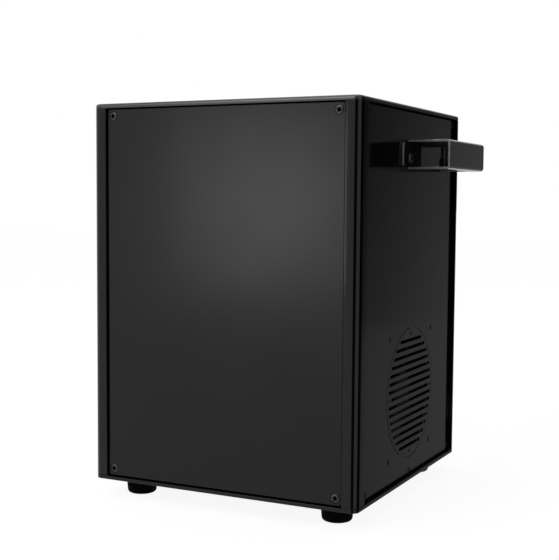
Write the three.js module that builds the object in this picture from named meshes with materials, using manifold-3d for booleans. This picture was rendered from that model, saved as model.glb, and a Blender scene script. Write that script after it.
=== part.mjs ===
// Cold spark machine: a tall stage effect that heats metal granules in an induction chamber and blows
// them out of the top as a fountain of cool sparks. Millimetres, +Z up, front towards -Y. The origin
// lies on the floor under the middle of the casing.

import * as THREE from "three";
import { mergeVertices } from "three/addons/utils/BufferGeometryUtils.js";
import Module from "manifold-3d";

// Casing, outside sizes without the feet
const casingWidth = 250;
const casingDepth = 252;
const casingHeight = 328;
const cornerRadius = 6.5;
const coverThickness = 4;
const coverEdgeRadius = 2.5;
const baseThickness = 3;

// Clearances shared by all pieces
const seatGap = 0.3;
const runningGap = 0.4;
const cutOverrun = 2;

// Corner posts and the panels that are set between them
const rimHeight = 9.5;
const panelThickness = 1.5;
const panelEdgeGap = 1;
const panelCornerRadius = 2.5;
const frontRecess = 2.5;
const sideRecess = 3.5;
const rearRecess = 6;
const postFaceLeg = 13;
const frontPostSideLeg = 17.5;
const rearPostSideLeg = 7;
const flangeWidth = 14;
const flangeThickness = 2;

// Rubber feet
const footHeight = 16;
const footTopRadius = 14;
const footBottomRadius = 12.85;
const footEdgeRadius = 3;
const footInsetX = 29.5;
const footInsetY = 31;

// Side grilles and the cooling fan
const fanSize = 120;
const fanDepth = 25;
const fanCornerRadius = 6;
const fanRimWall = 3;
const fanScrewInset = 7.5;
const fanScrewRadius = 2.2;
const fanHubRadius = 20;
const fanHubThickness = 5;
const fanStrutWidth = 5;
const fanCentreOffset = 5.5;
const rotorTipGap = 2;
const rotorEndRoom = 3.6;
const rotorCupRadius = 19;
const rotorShaftRadius = 2.1;
const bladeRoom = 2.2;
const bladeThickness = 1.6;
const grilleRimMargin = 0.5;
const grilleGap = 0.5;
const slotPitch = 6.7;
const slotHeight = 2.9;
const slotEndMargin = 3.5;
const middleSlotSetBack = 7;
const ringOverlap = 2.5;
const ringMargin = 6.5;
const ringRimGap = 0.5;
const ringThickness = 2;

// Carrying handles, bent from sheet
const handleLength = 101;
const handleHeight = 25.3;
const handleStandOff = 34.5;
const handleSheet = 2;
const handleBendRadius = 3.2;
const handleArmLength = 14;
const handleGripDepth = 9;
const handleCutRadius = 12;
const handleTabLength = 15;
const handleTabOverlap = 10;
const handleRearRoom = 13.5;
const handleCentreBelowTop = 41.7;
const handleScrewHoleRadius = 2.6;

// Spark outlet and heating chamber
const tubeBoreRadius = 19;
const tubeWall = 3;
const tubeCollarThickness = 3;
const portStep = 0.5;
const ringFlangeWidth = 13;
const ringFlangeHeight = 4;
const ringNeckWall = 3.7;
const ringNeckDepth = 10;
const ringMouthFlare = 6;
const ringMouthDepth = 5;
const sleeveThickness = 10;
const sleeveBottomRoom = 10;
const sleeveTopRoom = 34;
const coilWireRadius = 3;
const coilPitch = 13;
const coilLeadLength = 16;
const coilClearance = 0.8;
const coilEndRoom = 11;

// Shelf over the lower bay, and its pillars
const shelfHeight = 134;
const shelfThickness = 2;
const shelfSideRoom = 8;
const shelfFanRoom = 6.4;
const shelfEndRoom = 30;
const pillarRadius = 4;
const pillarInset = 10;
const draftHoleRadius = 14;

// Granule hopper and its lid in the cover
const hopperDepth = 44;
const hopperWall = 1.5;
const hopperTaper = 34;
const hopperThroat = 6;
const hopperSideRoom = 15;
const fillerSideInset = 2;
const fillerEndInset = 3;
const fillerCornerRadius = 4;
const lidOverlap = 6;
const lidRingGap = 2;
const lidThickness = 2.5;
const lidCornerRadius = 5;
const lidPullHeight = 2.5;
const lidPullDepth = 3;
const lidPullWidth = 24;
const hingePinRadius = 1.2;
const hingeKnuckleRadius = 2.5;
const hingeSetBack = 4;
const hingeKnuckleLength = 14;
const hingeBaseThickness = 1;

// Feeder: screw, housing, motor and gears
const feederBoreRadius = 9.5;
const feederWall = 2.5;
const feederEndRoom = 9.5;
const feederSaddleHeight = 33.4;
const feederSaddleMargin = 3;
const gearFloorRoom = 0.9;
const augerRoom = 0.7;
const augerCoreRadius = 3;
const augerPitch = 12;
const augerFlightThickness = 1.4;
const gearModule = 1.6;
const gearFaceWidth = 6;
const gearBacklash = 0.35;
const gearHubLength = 3;
const motorRadius = 13;
const motorLength = 44;
const motorShaftRadius = 2;
const bracketThickness = 2.5;
const bracketMargin = 6;

// Draught blower under the shelf
const impellerRoom = 2;
const impellerSideRoom = 3;
const impellerBladeThickness = 1.2;
const impellerBladeDepth = 6;
const impellerDiscThickness = 2;
const voluteStart = 31;
const voluteGrowth = 12;
const voluteWall = 2;
const voluteDepth = 30;
const blowerInletRadius = 19;
const blowerDrop = 48;
const blowerShaftRadius = 2;
const blowerMotorRadius = 11;
const blowerMotorLength = 12;

// Electronics in the lower bay
const boardThickness = 1.6;
const boardStandOff = 8;
const standOffRadius = 3;
const driverSideRoom = 7;
const driverDepth = 62;
const driverFrontRoom = 15;
const capacitorRadius = 9;
const capacitorHeight = 26;
const chokeSize = 18;
const chokeRoom = 4;
const sinkFinPitch = 7.8;
const sinkDepth = 42;
const sinkBase = 4;
const sinkFinHeight = 22;
const sinkFinThickness = 1.6;
const supplyLeftRoom = 28;
const supplyRightRoom = 8;
const supplyDepth = 58;
const supplyHeight = 36;
const supplyRearRoom = 11.5;
const supplyTerminalWidth = 14;
const supplyTerminalHeight = 18;
const intakeSlotLength = 50;
const intakeSlotWidth = 4;
const intakeSlotPitch = 9;

// Rear control panel
const displayWidth = 46;
const displayHeight = 22;
const displayBelowTop = 56;
const displayFrame = 3;
const displayProud = 1.2;
const buttonRowGap = 16;
const buttonPitch = 18;
const buttonRadius = 4;
const buttonFlangeWidth = 1.4;
const buttonProud = 2.4;
const buttonTravel = 1;
const controlBoardWidth = 96;
const controlBoardHeight = 66;
const controlBoardDistance = 9;
const tactSize = 6;
const signalRowGap = 54;
const signalSpacing = 50;
const signalFlangeMargin = 1.4;
const signalFlangeThickness = 2;
const signalWall = 2.6;
const signalBarrelLength = 20;
const signalCavityRadius = 9;
const signalCavityDepth = 14;
const signalGroove = 1.4;
const signalPinHoleRadius = 1.5;
const signalPinCircle = 3.9;
const latchWidth = 8;
const latchHeight = 3.6;
const latchProud = 1.6;
const latchTravel = 1.5;
const latchLength = 9;
const latchCaseWall = 1.2;
const latchFlangeMargin = 0.5;
const inletSupplyRoom = 3.7;
const inletOffset = 26;
const inletWidth = 30;
const inletHeight = 38;
const inletFlange = 2.5;
const inletFlangeThickness = 2.5;
const inletBodyDepth = 24;
const inletCavityWidth = 24;
const inletCavityHeight = 16.5;
const inletCavityDepth = 15;
const inletPinWidth = 4;
const inletPinThickness = 2;
const inletPinSpread = 14;
const fuseWidth = 22;
const fuseHeight = 9;
const fuseLength = 20;
const fuseProud = 1;
const fuseLip = 2.2;
const switchOffset = 26;
const switchWidth = 19;
const switchHeight = 29;
const switchFlange = 2.5;
const switchFlangeThickness = 1.6;
const switchBodyDepth = 18;
const rockerWidth = 13;
const rockerHeight = 22;
const rockerRise = 2.2;
const rockerDepth = 6;
const rockerPivotDepth = 2;
const rockerPinRadius = 1.4;

// Counts and angles
const arcSteps = 4;
const edgeSteps = 3;
const slotSteps = 2;
const bendSteps = 2;
const footSteps = 24;
const roundSteps = 28;
const smallRoundSteps = 14;
const tinyRoundSteps = 8;
const grilleSteps = 48;
const bladeCount = 7;
const bladeSpanSteps = 3;
const bladeRootPitch = THREE.MathUtils.degToRad(48);
const bladeTipPitch = THREE.MathUtils.degToRad(26);
const gearTeeth = 24;
const pinionTeeth = 12;
const pressureAngle = THREE.MathUtils.degToRad(20);
const coilStepsPerTurn = 24;
const coilSides = 6;
const augerTurns = 4;
const augerStepsPerTurn = 10;
const impellerBlades = 14;
const voluteSteps = 20;
const intakeSlotCount = 5;
const buttonCount = 4;
const capacitorCount = 4;
const rockerTilt = THREE.MathUtils.degToRad(9);
const hopperTaperShare = 0.4;
const addendumShare = 0.85;
const dedendumShare = 1.15;

// Planes worked out from the sizes above
const casingBottom = footHeight;
const floorOfBay = casingBottom + baseThickness;
const casingTop = casingBottom + casingHeight;
const coverUnderside = casingTop - coverThickness;
const postLength = coverUnderside - floorOfBay - 2 * seatGap;
const panelHeight = coverUnderside - floorOfBay - 2 * panelEdgeGap;
const panelCentre = (coverUnderside + floorOfBay) / 2;
const panelBack = panelThickness + seatGap;
const frontRebate = frontRecess + panelBack;
const sideRebate = sideRecess + panelBack;
const rearRebate = rearRecess + panelBack;
const sideInside = casingWidth / 2 - sideRecess - panelThickness;
const frontInside = casingDepth / 2 - frontRecess - panelThickness;
const rearInside = casingDepth / 2 - rearRecess - panelThickness;
const shelfTop = casingBottom + shelfHeight;
const shelfUnderside = shelfTop - shelfThickness;

const wasm = await Module();
wasm.setup();

// Solids: closed three.js geometries, cut and joined exactly

function solidOf(geometry) {
  const bare = geometry.clone();
  bare.deleteAttribute("normal");
  bare.deleteAttribute("uv");
  const merged = mergeVertices(bare);
  return new wasm.Manifold(
    new wasm.Mesh({
      numProp: 3,
      vertProperties: merged.attributes.position.array,
      triVerts: new Uint32Array(merged.index.array),
    }),
  );
}

function geometryOf(solid) {
  const made = solid.getMesh();
  const geometry = new THREE.BufferGeometry();
  geometry.setAttribute("position", new THREE.BufferAttribute(made.vertProperties, made.numProp));
  geometry.setIndex(new THREE.BufferAttribute(made.triVerts, 1));
  geometry.computeVertexNormals();
  return geometry;
}

const joined = (first, ...others) => others.reduce((sum, next) => sum.add(next), first);
const without = (body, ...cutters) => cutters.reduce((rest, cutter) => rest.subtract(cutter), body);

function moved(geometry, x, y, z) {
  return geometry.translate(x, y, z);
}

function block(sizeX, sizeY, sizeZ, x, y, z) {
  return solidOf(moved(new THREE.BoxGeometry(sizeX, sizeY, sizeZ), x, y, z));
}

// A round bar between two ends along one axis
function bar(radius, length, axis, x, y, z, steps = smallRoundSteps, endRadius = radius) {
  const geometry = new THREE.CylinderGeometry(endRadius, radius, length, steps);
  if (axis === "x") geometry.rotateZ(-Math.PI / 2);
  if (axis === "z") geometry.rotateX(Math.PI / 2);
  return solidOf(moved(geometry, x, y, z));
}

// A body turned about Z from a profile of [radius, height] points, which closes on itself or on the axis
function turned(profile, steps = roundSteps) {
  const points = profile.map(([radius, height]) => new THREE.Vector2(radius, height));
  if (THREE.ShapeUtils.area(points) < 0) points.reverse();
  if (points[0].x > 0 || points.at(-1).x > 0) points.push(points[0].clone());
  return solidOf(new THREE.LatheGeometry(points, steps).rotateX(Math.PI / 2));
}

// A rectangle with rounded corners, each a quarter circle of the given steps
function roundedOutline(width, height, radius, x = 0, y = 0, steps = arcSteps, Kind = THREE.Shape) {
  const corners = [[1, 1], [-1, 1], [-1, -1], [1, -1]];
  return new Kind(corners.flatMap(([sideX, sideY], i) => Array.from({ length: steps + 1 }, (_, j) => {
    const turn = ((i + j / steps) * Math.PI) / 2;
    return new THREE.Vector2(
      x + sideX * (width / 2 - radius) + radius * Math.cos(turn),
      y + sideY * (height / 2 - radius) + radius * Math.sin(turn),
    );
  })));
}

function squareHole(width, height, x, y) {
  const right = x + width / 2;
  const left = x - width / 2;
  const top = y + height / 2;
  const bottom = y - height / 2;
  return new THREE.Path(outlinePoints([[right, bottom], [right, top], [left, top], [left, bottom]]));
}

function roundOutline(radius, steps, x = 0, y = 0, Kind = THREE.Shape) {
  const points = Array.from({ length: steps }, (_, i) => {
    const turn = (i * 2 * Math.PI) / steps;
    return new THREE.Vector2(x + radius * Math.cos(turn), y + radius * Math.sin(turn));
  });
  return new Kind(points);
}

const roundHole = (radius, x, y, steps) => roundOutline(radius, steps, x, y, THREE.Path);

function plate(outline, thickness, bottom = 0) {
  const geometry = new THREE.ExtrudeGeometry(outline, { depth: thickness, bevelEnabled: false });
  return solidOf(moved(geometry, 0, 0, bottom));
}

const outlinePoints = (points) => points.map(([x, y]) => new THREE.Vector2(x, y));

const outlineOf = (points) => new THREE.Shape(outlinePoints(points));

// Finishes

const paint = { color: 0x17181a, roughness: 0.42, metalness: 0.2 };
const blackPlastic = { color: 0x101112, roughness: 0.55, metalness: 0 };
const rubber = { color: 0x0c0c0d, roughness: 0.9, metalness: 0 };
const steel = { color: 0x9a9c9e, roughness: 0.35, metalness: 0.9 };
const zinc = { color: 0xb0b3b6, roughness: 0.45, metalness: 0.8 };
const copper = { color: 0xb06a3c, roughness: 0.35, metalness: 0.9 };
const ceramic = { color: 0xd8d2c4, roughness: 0.9, metalness: 0 };
const aluminium = { color: 0xbfc3c7, roughness: 0.4, metalness: 0.85 };
const circuit = { color: 0x1d5a34, roughness: 0.5, metalness: 0.1 };
const brass = { color: 0xb89b50, roughness: 0.4, metalness: 0.85 };
const whitePlastic = { color: 0xd9d9d5, roughness: 0.5, metalness: 0 };
const glass = { color: 0x16222c, roughness: 0.1, metalness: 0 };

function piece(name, solid, finish, x = 0, y = 0, z = 0) {
  const mesh = new THREE.Mesh(geometryOf(solid), new THREE.MeshStandardMaterial(finish));
  mesh.name = name;
  mesh.position.set(x, y, z);
  return mesh;
}

function groupOf(...members) {
  const group = new THREE.Group();
  members.flat().forEach((member) => group.add(member));
  return group;
}

// A group whose own Z points out of a wall of the casing, with its Y up
function wallGroup(normalX, normalY, ...members) {
  const out = new THREE.Vector3(normalX, normalY, 0);
  const up = new THREE.Vector3(0, 0, 1);
  const across = new THREE.Vector3().crossVectors(up, out);
  const group = groupOf(...members);
  group.quaternion.setFromRotationMatrix(new THREE.Matrix4().makeBasis(across, up, out));
  group.position.set((normalX * casingWidth) / 2, (normalY * casingDepth) / 2, casingBottom);
  return group;
}

// Casing: base, cover, posts and plain panels

// Strips behind the panels' top or bottom edges, between the flanges of the posts
function rims(bottom) {
  const centre = bottom + rimHeight / 2;
  const across = casingWidth - 2 * (postFaceLeg + flangeWidth + seatGap);
  const frontEnd = -casingDepth / 2 + frontPostSideLeg + flangeWidth + seatGap;
  const rearEnd = casingDepth / 2 - rearPostSideLeg - flangeWidth - seatGap;
  const along = rearEnd - frontEnd;
  const front = -casingDepth / 2 + frontRebate + flangeThickness / 2;
  const rear = casingDepth / 2 - rearRebate - flangeThickness / 2;
  const side = casingWidth / 2 - sideRebate - flangeThickness / 2;
  const middle = (frontEnd + rearEnd) / 2;
  return [
    block(across, flangeThickness, rimHeight, 0, front, centre),
    block(across, flangeThickness, rimHeight, 0, rear, centre),
    block(flangeThickness, along, rimHeight, side, middle, centre),
    block(flangeThickness, along, rimHeight, -side, middle, centre),
  ];
}

function basePlate() {
  const outline = roundedOutline(casingWidth, casingDepth, cornerRadius);
  const firstSlot = (-(intakeSlotCount - 1) * intakeSlotPitch) / 2;
  for (let i = 0; i < intakeSlotCount; i += 1) {
    const y = firstSlot + i * intakeSlotPitch;
    const radius = intakeSlotWidth / 2;
    outline.holes.push(
      roundedOutline(intakeSlotLength, intakeSlotWidth, radius, 0, y, slotSteps, THREE.Path));
  }
  return joined(plate(outline, baseThickness), ...rims(baseThickness));
}

function topCover() {
  const outline = roundedOutline(casingWidth, casingDepth, cornerRadius);
  const eased = new THREE.ExtrudeGeometry(outline, {
    depth: coverThickness,
    bevelThickness: coverEdgeRadius,
    bevelSize: coverEdgeRadius,
    bevelOffset: -coverEdgeRadius,
    bevelSegments: edgeSteps,
  });
  const slab = solidOf(moved(eased, 0, 0, -coverEdgeRadius));
  const kept = block(casingWidth, casingDepth, coverThickness, 0, 0, coverThickness / 2);
  const outlet = bar(ringNeckRadius + seatGap, coverThickness + cutOverrun, "z", 0, 0,
    coverThickness / 2, roundSteps);
  const fillerOutline = roundedOutline(fillerWidth, fillerDepth, fillerCornerRadius, -hopperCentre, 0);
  const filler = plate(fillerOutline, coverThickness + 2 * cutOverrun, -cutOverrun);
  return without(joined(slab.intersect(kept), ...rims(-rimHeight)), outlet, filler);
}

// A post's section, drawn from the casing's corner inwards: the legs that show, and behind the panels'
// edges a flange along each face
function postOutline(faceRebate, sideLeg, towardX, towardY) {
  const faceEnd = postFaceLeg + flangeWidth;
  const sideEnd = sideLeg + flangeWidth;
  const inX = sideRebate + flangeThickness;
  const inY = faceRebate + flangeThickness;
  const points = [
    [postFaceLeg, 0], [postFaceLeg, faceRebate], [faceEnd, faceRebate], [faceEnd, inY], [inX, inY],
    [inX, sideEnd], [sideRebate, sideEnd], [sideRebate, sideLeg], [0, sideLeg],
  ];
  for (let i = 0; i <= arcSteps; i += 1) {
    const turn = (i * Math.PI) / 2 / arcSteps;
    points.push([cornerRadius * (1 - Math.cos(turn)), cornerRadius * (1 - Math.sin(turn))]);
  }
  return outlineOf(points.map(([x, y]) => [x * towardX, y * towardY]));
}

function cornerPosts() {
  const corners = [
    ["post_front_left", -1, -1], ["post_front_right", 1, -1],
    ["post_rear_left", -1, 1], ["post_rear_right", 1, 1],
  ];
  return corners.map(([name, sideX, sideY]) => {
    const faceRebate = sideY < 0 ? frontRebate : rearRebate;
    const sideLeg = sideY < 0 ? frontPostSideLeg : rearPostSideLeg;
    const outline = postOutline(faceRebate, sideLeg, -sideX, -sideY);
    return piece(name, plate(outline, postLength), paint,
      (sideX * casingWidth) / 2, (sideY * casingDepth) / 2, floorOfBay + seatGap);
  });
}

const facePanelWidth = casingWidth - 2 * (postFaceLeg + panelEdgeGap);
const sidePanelWidth = casingDepth - frontPostSideLeg - rearPostSideLeg - 2 * panelEdgeGap;
const sidePanelShift = (frontPostSideLeg - rearPostSideLeg) / 2;

// Feet

function rubberFoot() {
  const profile = [[0, 0]];
  const edgeCentre = footBottomRadius - footEdgeRadius;
  for (let i = 0; i <= edgeSteps; i += 1) {
    const turn = (i * Math.PI) / 2 / edgeSteps;
    const radius = edgeCentre + footEdgeRadius * Math.sin(turn);
    profile.push([radius, footEdgeRadius * (1 - Math.cos(turn))]);
  }
  const top = footHeight - seatGap;
  profile.push([footTopRadius, top], [0, top]);
  return turned(profile, footSteps);
}

function feet() {
  const places = [["front_left", -1, -1], ["front_right", 1, -1], ["rear_left", -1, 1], ["rear_right", 1, 1]];
  return places.map(([place, sideX, sideY]) => piece(`foot_${place}`, rubberFoot(), rubber,
    sideX * (casingWidth / 2 - footInsetX), sideY * (casingDepth / 2 - footInsetY), 0));
}

// Side walls: panel, slotted grille, its ring, and the fan on the right

const fanBoreRadius = fanSize / 2 - fanRimWall;
const grilleRadius = fanBoreRadius + grilleRimMargin;
const slotEndRadius = grilleRadius - slotEndMargin;
const middleSlotReach = slotEndRadius - middleSlotSetBack;
const ringInnerRadius = grilleRadius - ringOverlap;
const ringOuterRadius = grilleRadius + ringMargin;
const fanCentreHeight = baseThickness + rimHeight + ringRimGap + ringOuterRadius;
const slotsEachSide = Math.round((slotEndRadius - slotPitch) / slotPitch);
const slotPlaces = Array.from({ length: 2 * slotsEachSide + 1 }, (_, i) => (i - slotsEachSide) * slotPitch);

function grilleDisc() {
  const disc = roundOutline(grilleRadius, grilleSteps);
  slotPlaces.forEach((height) => {
    const reach = height === 0 ? middleSlotReach : Math.sqrt(slotEndRadius ** 2 - height ** 2);
    disc.holes.push(squareHole(2 * reach, slotHeight, 0, height));
  });
  return plate(disc, panelThickness);
}

function annulus(innerRadius, outerRadius, thickness, steps) {
  return turned([[innerRadius, 0], [outerRadius, 0], [outerRadius, thickness], [innerRadius, thickness]],
    steps);
}

function sidePanel(shift, fanX) {
  const outline = roundedOutline(sidePanelWidth, panelHeight, panelCornerRadius, shift,
    panelCentre - casingBottom);
  const opening = bar(grilleRadius + grilleGap, panelThickness + cutOverrun, "z", fanX, fanCentreHeight,
    panelThickness / 2, grilleSteps);
  return without(plate(outline, panelThickness), opening);
}

const panelOuter = -sideRecess;
const ringBack = panelOuter - panelThickness - seatGap - ringThickness;
const fanBack = ringBack - seatGap - fanDepth;

function fanFrame() {
  const outline = roundedOutline(fanSize, fanSize, fanCornerRadius);
  [-1, 1].forEach((sideX) => [-1, 1].forEach((sideY) => {
    const place = fanSize / 2 - fanScrewInset;
    outline.holes.push(roundHole(fanScrewRadius, sideX * place, sideY * place, tinyRoundSteps));
  }));
  const shell = plate(outline, fanDepth);
  const bore = bar(fanBoreRadius, fanDepth + cutOverrun, "z", 0, 0, fanDepth / 2, grilleSteps);
  const strutLength = 2 * fanBoreRadius + fanStrutWidth;
  const strutHeight = fanHubThickness / 2;
  const spider = joined(
    bar(fanHubRadius, fanHubThickness, "z", 0, 0, fanHubThickness / 2, roundSteps),
    block(strutLength, fanStrutWidth, strutHeight, 0, 0, strutHeight / 2),
    block(fanStrutWidth, strutLength, strutHeight, 0, 0, strutHeight / 2),
  );
  const shaftHole = bar(rotorShaftRadius + runningGap, 2 * fanHubThickness + cutOverrun, "z", 0, 0, 0);
  return without(joined(without(shell, bore), spider), shaftHole);
}

const rotorCupLength = fanDepth - fanHubThickness - runningGap - rotorEndRoom;
const bladeChord = (fanDepth - fanHubThickness - 2 * bladeRoom) / Math.sin(bladeRootPitch);

// A blade is a thin box along its radius, turned about that radius more at the root than at the tip
function fanBlade(rootRadius, tipRadius) {
  const span = tipRadius - rootRadius;
  const geometry = new THREE.BoxGeometry(span, bladeChord, bladeThickness, bladeSpanSteps, 1, 1);
  const place = geometry.attributes.position;
  for (let i = 0; i < place.count; i += 1) {
    const share = place.getX(i) / span + 1 / 2;
    const pitch = THREE.MathUtils.lerp(bladeRootPitch, bladeTipPitch, share);
    const y = place.getY(i) * Math.cos(pitch) - place.getZ(i) * Math.sin(pitch);
    const z = place.getY(i) * Math.sin(pitch) + place.getZ(i) * Math.cos(pitch);
    place.setXYZ(i, rootRadius + share * span, y, z);
  }
  return geometry;
}

function fanRotor() {
  const cup = bar(rotorCupRadius, rotorCupLength, "z", 0, 0, rotorCupLength / 2, roundSteps);
  const shaftLength = fanHubThickness + rotorCupLength / 2;
  const shaft = bar(rotorShaftRadius, shaftLength, "z", 0, 0, rotorCupLength / 2 - shaftLength / 2);
  const rootRadius = rotorCupRadius - 2 * bladeThickness;
  const blades = Array.from({ length: bladeCount }, (_, i) => {
    const blade = fanBlade(rootRadius, fanBoreRadius - rotorTipGap);
    blade.rotateZ((i * 2 * Math.PI) / bladeCount);
    return solidOf(moved(blade, 0, 0, rotorCupLength / 2));
  });
  return joined(cup, shaft, ...blades);
}

// A handle's C section lies in its X-Y plane, X standing off the wall, and runs along its Z
function handleSection() {
  const inner = handleBendRadius - handleSheet;
  const half = handleHeight / 2;
  const foot = panelOuter + seatGap;
  const section = new THREE.Shape();
  section.moveTo(foot, -half);
  section.absarc(handleStandOff - handleBendRadius, -half + handleBendRadius, handleBendRadius,
    -Math.PI / 2, 0);
  section.absarc(handleStandOff - handleBendRadius, half - handleBendRadius, handleBendRadius,
    0, Math.PI / 2);
  section.lineTo(foot, half);
  section.lineTo(foot, half - handleSheet);
  section.absarc(handleStandOff - handleBendRadius, half - handleBendRadius, inner,
    Math.PI / 2, 0, true);
  section.absarc(handleStandOff - handleBendRadius, -half + handleBendRadius, inner,
    0, -Math.PI / 2, true);
  section.lineTo(foot, -half + handleSheet);
  return section;
}

function handle() {
  const foot = panelOuter + seatGap;
  const channel = new THREE.ExtrudeGeometry(handleSection(), {
    depth: handleLength,
    bevelEnabled: false,
    curveSegments: bendSteps,
  });
  // The section's X becomes Z, away from the wall, and its run becomes X
  channel.translate(0, 0, -handleLength / 2).rotateY(-Math.PI / 2);
  const gapLength = handleLength - 2 * handleArmLength;
  const gapDepth = handleStandOff - handleGripDepth - foot + handleCutRadius;
  const gapMiddle = handleStandOff - handleGripDepth - gapDepth / 2;
  const gapOutline = roundedOutline(gapLength, gapDepth, handleCutRadius, 0, -gapMiddle);
  // The fingers come from below, so only the lower flange is cut
  const gapReach = (handleHeight + cutOverrun) / 2;
  const fingers = new THREE.ExtrudeGeometry(gapOutline, { depth: gapReach, bevelEnabled: false });
  fingers.translate(0, 0, -gapReach).rotateX(-Math.PI / 2);
  const bent = without(solidOf(channel), solidOf(fingers));
  const tabLength = handleTabLength + handleTabOverlap;
  const tabHeight = handleHeight - 2 * handleSheet;
  const tabs = [-1, 1].flatMap((end) => {
    const middle = end * (handleLength / 2 + handleTabLength - tabLength / 2);
    const weldMiddle = end * (handleLength / 2 - handleTabOverlap / 2);
    const lift = foot + handleSheet / 2;
    return [
      block(tabLength, tabHeight, handleSheet, middle, 0, lift),
      block(handleTabOverlap, handleHeight - handleSheet, handleSheet, weldMiddle, 0, lift),
    ];
  });
  const holes = [-1, 1].map((end) => bar(handleScrewHoleRadius, 2 * handleSheet, "z",
    end * (handleLength / 2 + handleTabLength / 2), 0, foot + handleSheet / 2));
  return without(joined(bent, ...tabs), ...holes);
}

const handleCentreOffset = casingDepth / 2 - rearPostSideLeg - handleRearRoom - handleTabLength
  - handleLength / 2;

// Along a side wall, X runs to the rear on the right and to the front on the left
function sideWall(side) {
  const name = side > 0 ? "right" : "left";
  const fanX = side * fanCentreOffset;
  const pieces = [
    piece(`${name}_panel`, sidePanel(side * sidePanelShift, fanX), paint,
      0, 0, panelOuter - panelThickness),
    piece(`grille_${name}`, grilleDisc(), paint, fanX, fanCentreHeight, panelOuter - panelThickness),
    piece(`grille_ring_${name}`, annulus(ringInnerRadius, ringOuterRadius, ringThickness, grilleSteps),
      zinc, fanX, fanCentreHeight, ringBack),
    piece(`handle_${name}`, handle(), paint, side * handleCentreOffset,
      casingHeight - handleCentreBelowTop, 0),
  ];
  if (side > 0) {
    pieces.push(
      piece("fan_frame", fanFrame(), blackPlastic, fanX, fanCentreHeight, fanBack),
      piece("fan_rotor", fanRotor(), blackPlastic, fanX, fanCentreHeight,
        fanBack + fanHubThickness + runningGap),
    );
  }
  return wallGroup(side, 0, pieces);
}

// Spark outlet and heating chamber, about the vertical axis of the casing

const tubeOuterRadius = tubeBoreRadius + tubeWall;
const tubeBottom = shelfTop + seatGap;
const tubeTop = casingTop - ringMouthDepth;
const gearPitchRadius = (gearModule * gearTeeth) / 2;
const feederHeight = gearPitchRadius + addendumShare * gearModule + gearFloorRoom + bracketThickness;
const feederAxis = shelfTop + feederHeight;
const feederOuterRadius = feederBoreRadius + feederWall;
const portRadius = feederBoreRadius - portStep;
const sleeveBottom = feederAxis + feederOuterRadius + sleeveBottomRoom;
const sleeveHeight = coverUnderside - ringNeckDepth - sleeveTopRoom - sleeveBottom;
const sleeveInner = tubeOuterRadius + seatGap;
const sleeveOuter = sleeveInner + sleeveThickness;
const coilRadius = sleeveOuter + coilClearance + coilWireRadius;
const coilTurns = Math.round((sleeveHeight - 2 * coilEndRoom) / coilPitch);

function outletRing() {
  const seat = coverThickness;
  const neckBottom = -ringNeckDepth;
  const fit = tubeOuterRadius + seatGap;
  const mouthRadius = tubeBoreRadius + ringMouthFlare;
  const collar = seat - ringMouthDepth + seatGap;
  const top = seat + seatGap + ringFlangeHeight;
  return turned([
    [fit, neckBottom], [ringNeckRadius, neckBottom], [ringNeckRadius, seat + seatGap],
    [ringFlangeRadius, seat + seatGap], [ringFlangeRadius, top - coverEdgeRadius],
    [ringFlangeRadius - coverEdgeRadius, top], [mouthRadius, top], [tubeBoreRadius, collar],
    [fit, collar],
  ]);
}

// The tube stands on the shelf, and a collar on it carries the insulation and the coil
function nozzleTube() {
  const collarTop = sleeveBottom - seatGap - tubeBottom;
  const collarBottom = collarTop - tubeCollarThickness;
  const wall = turned([
    [tubeBoreRadius, 0], [tubeOuterRadius, 0], [tubeOuterRadius, collarBottom],
    [coilRadius, collarBottom], [coilRadius, collarTop], [tubeOuterRadius, collarTop],
    [tubeOuterRadius, tubeTop - tubeBottom], [tubeBoreRadius, tubeTop - tubeBottom],
  ]);
  const port = bar(portRadius, tubeOuterRadius, "x", -tubeOuterRadius, 0, feederAxis - tubeBottom);
  return without(wall, port);
}

// The coil is one unbroken tube: a straight lead, the turns, and a straight lead at the other end
class CoilRoute extends THREE.Curve {
  constructor() {
    super();
    this.turnLength = Math.hypot(2 * Math.PI * coilRadius, coilPitch);
    this.length = coilTurns * this.turnLength + 2 * coilLeadLength;
  }

  getPoint(share, target = new THREE.Vector3()) {
    const along = share * this.length - coilLeadLength;
    const wound = THREE.MathUtils.clamp(along, 0, coilTurns * this.turnLength);
    const turn = (wound / this.turnLength) * 2 * Math.PI;
    const spare = (along - wound) / this.turnLength;
    return target.set(
      coilRadius * (Math.cos(turn) - Math.sin(turn) * spare * 2 * Math.PI),
      coilRadius * (Math.sin(turn) + Math.cos(turn) * spare * 2 * Math.PI),
      coilPitch * (wound / this.turnLength + spare),
    );
  }
}

const coilRoute = new CoilRoute();
const coilSteps = Math.round((coilStepsPerTurn * coilRoute.length) / coilRoute.turnLength);

function leastCoilGap() {
  const points = coilRoute.getSpacedPoints(coilSteps);
  let least = Infinity;
  points.forEach((point, i) => points.slice(i + coilStepsPerTurn / 2).forEach((other) => {
    least = Math.min(least, point.distanceTo(other) - 2 * coilWireRadius);
  }));
  return least;
}

function inductionCoil() {
  const winding = new THREE.ExtrudeGeometry(roundOutline(coilWireRadius, coilSides), {
    steps: coilSteps,
    extrudePath: coilRoute,
    bevelEnabled: false,
  });
  return solidOf(winding);
}

function heatingChamber() {
  return groupOf(
    piece("outlet_ring", outletRing(), steel, 0, 0, coverUnderside),
    piece("nozzle_tube", nozzleTube(), steel, 0, 0, tubeBottom),
    piece("insulation_sleeve", annulus(sleeveInner, sleeveOuter, sleeveHeight, roundSteps), ceramic,
      0, 0, sleeveBottom),
    piece("induction_coil", inductionCoil(), copper, 0, 0,
      sleeveBottom + (sleeveHeight - coilTurns * coilPitch) / 2),
  );
}

// Shelf and pillars

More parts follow.
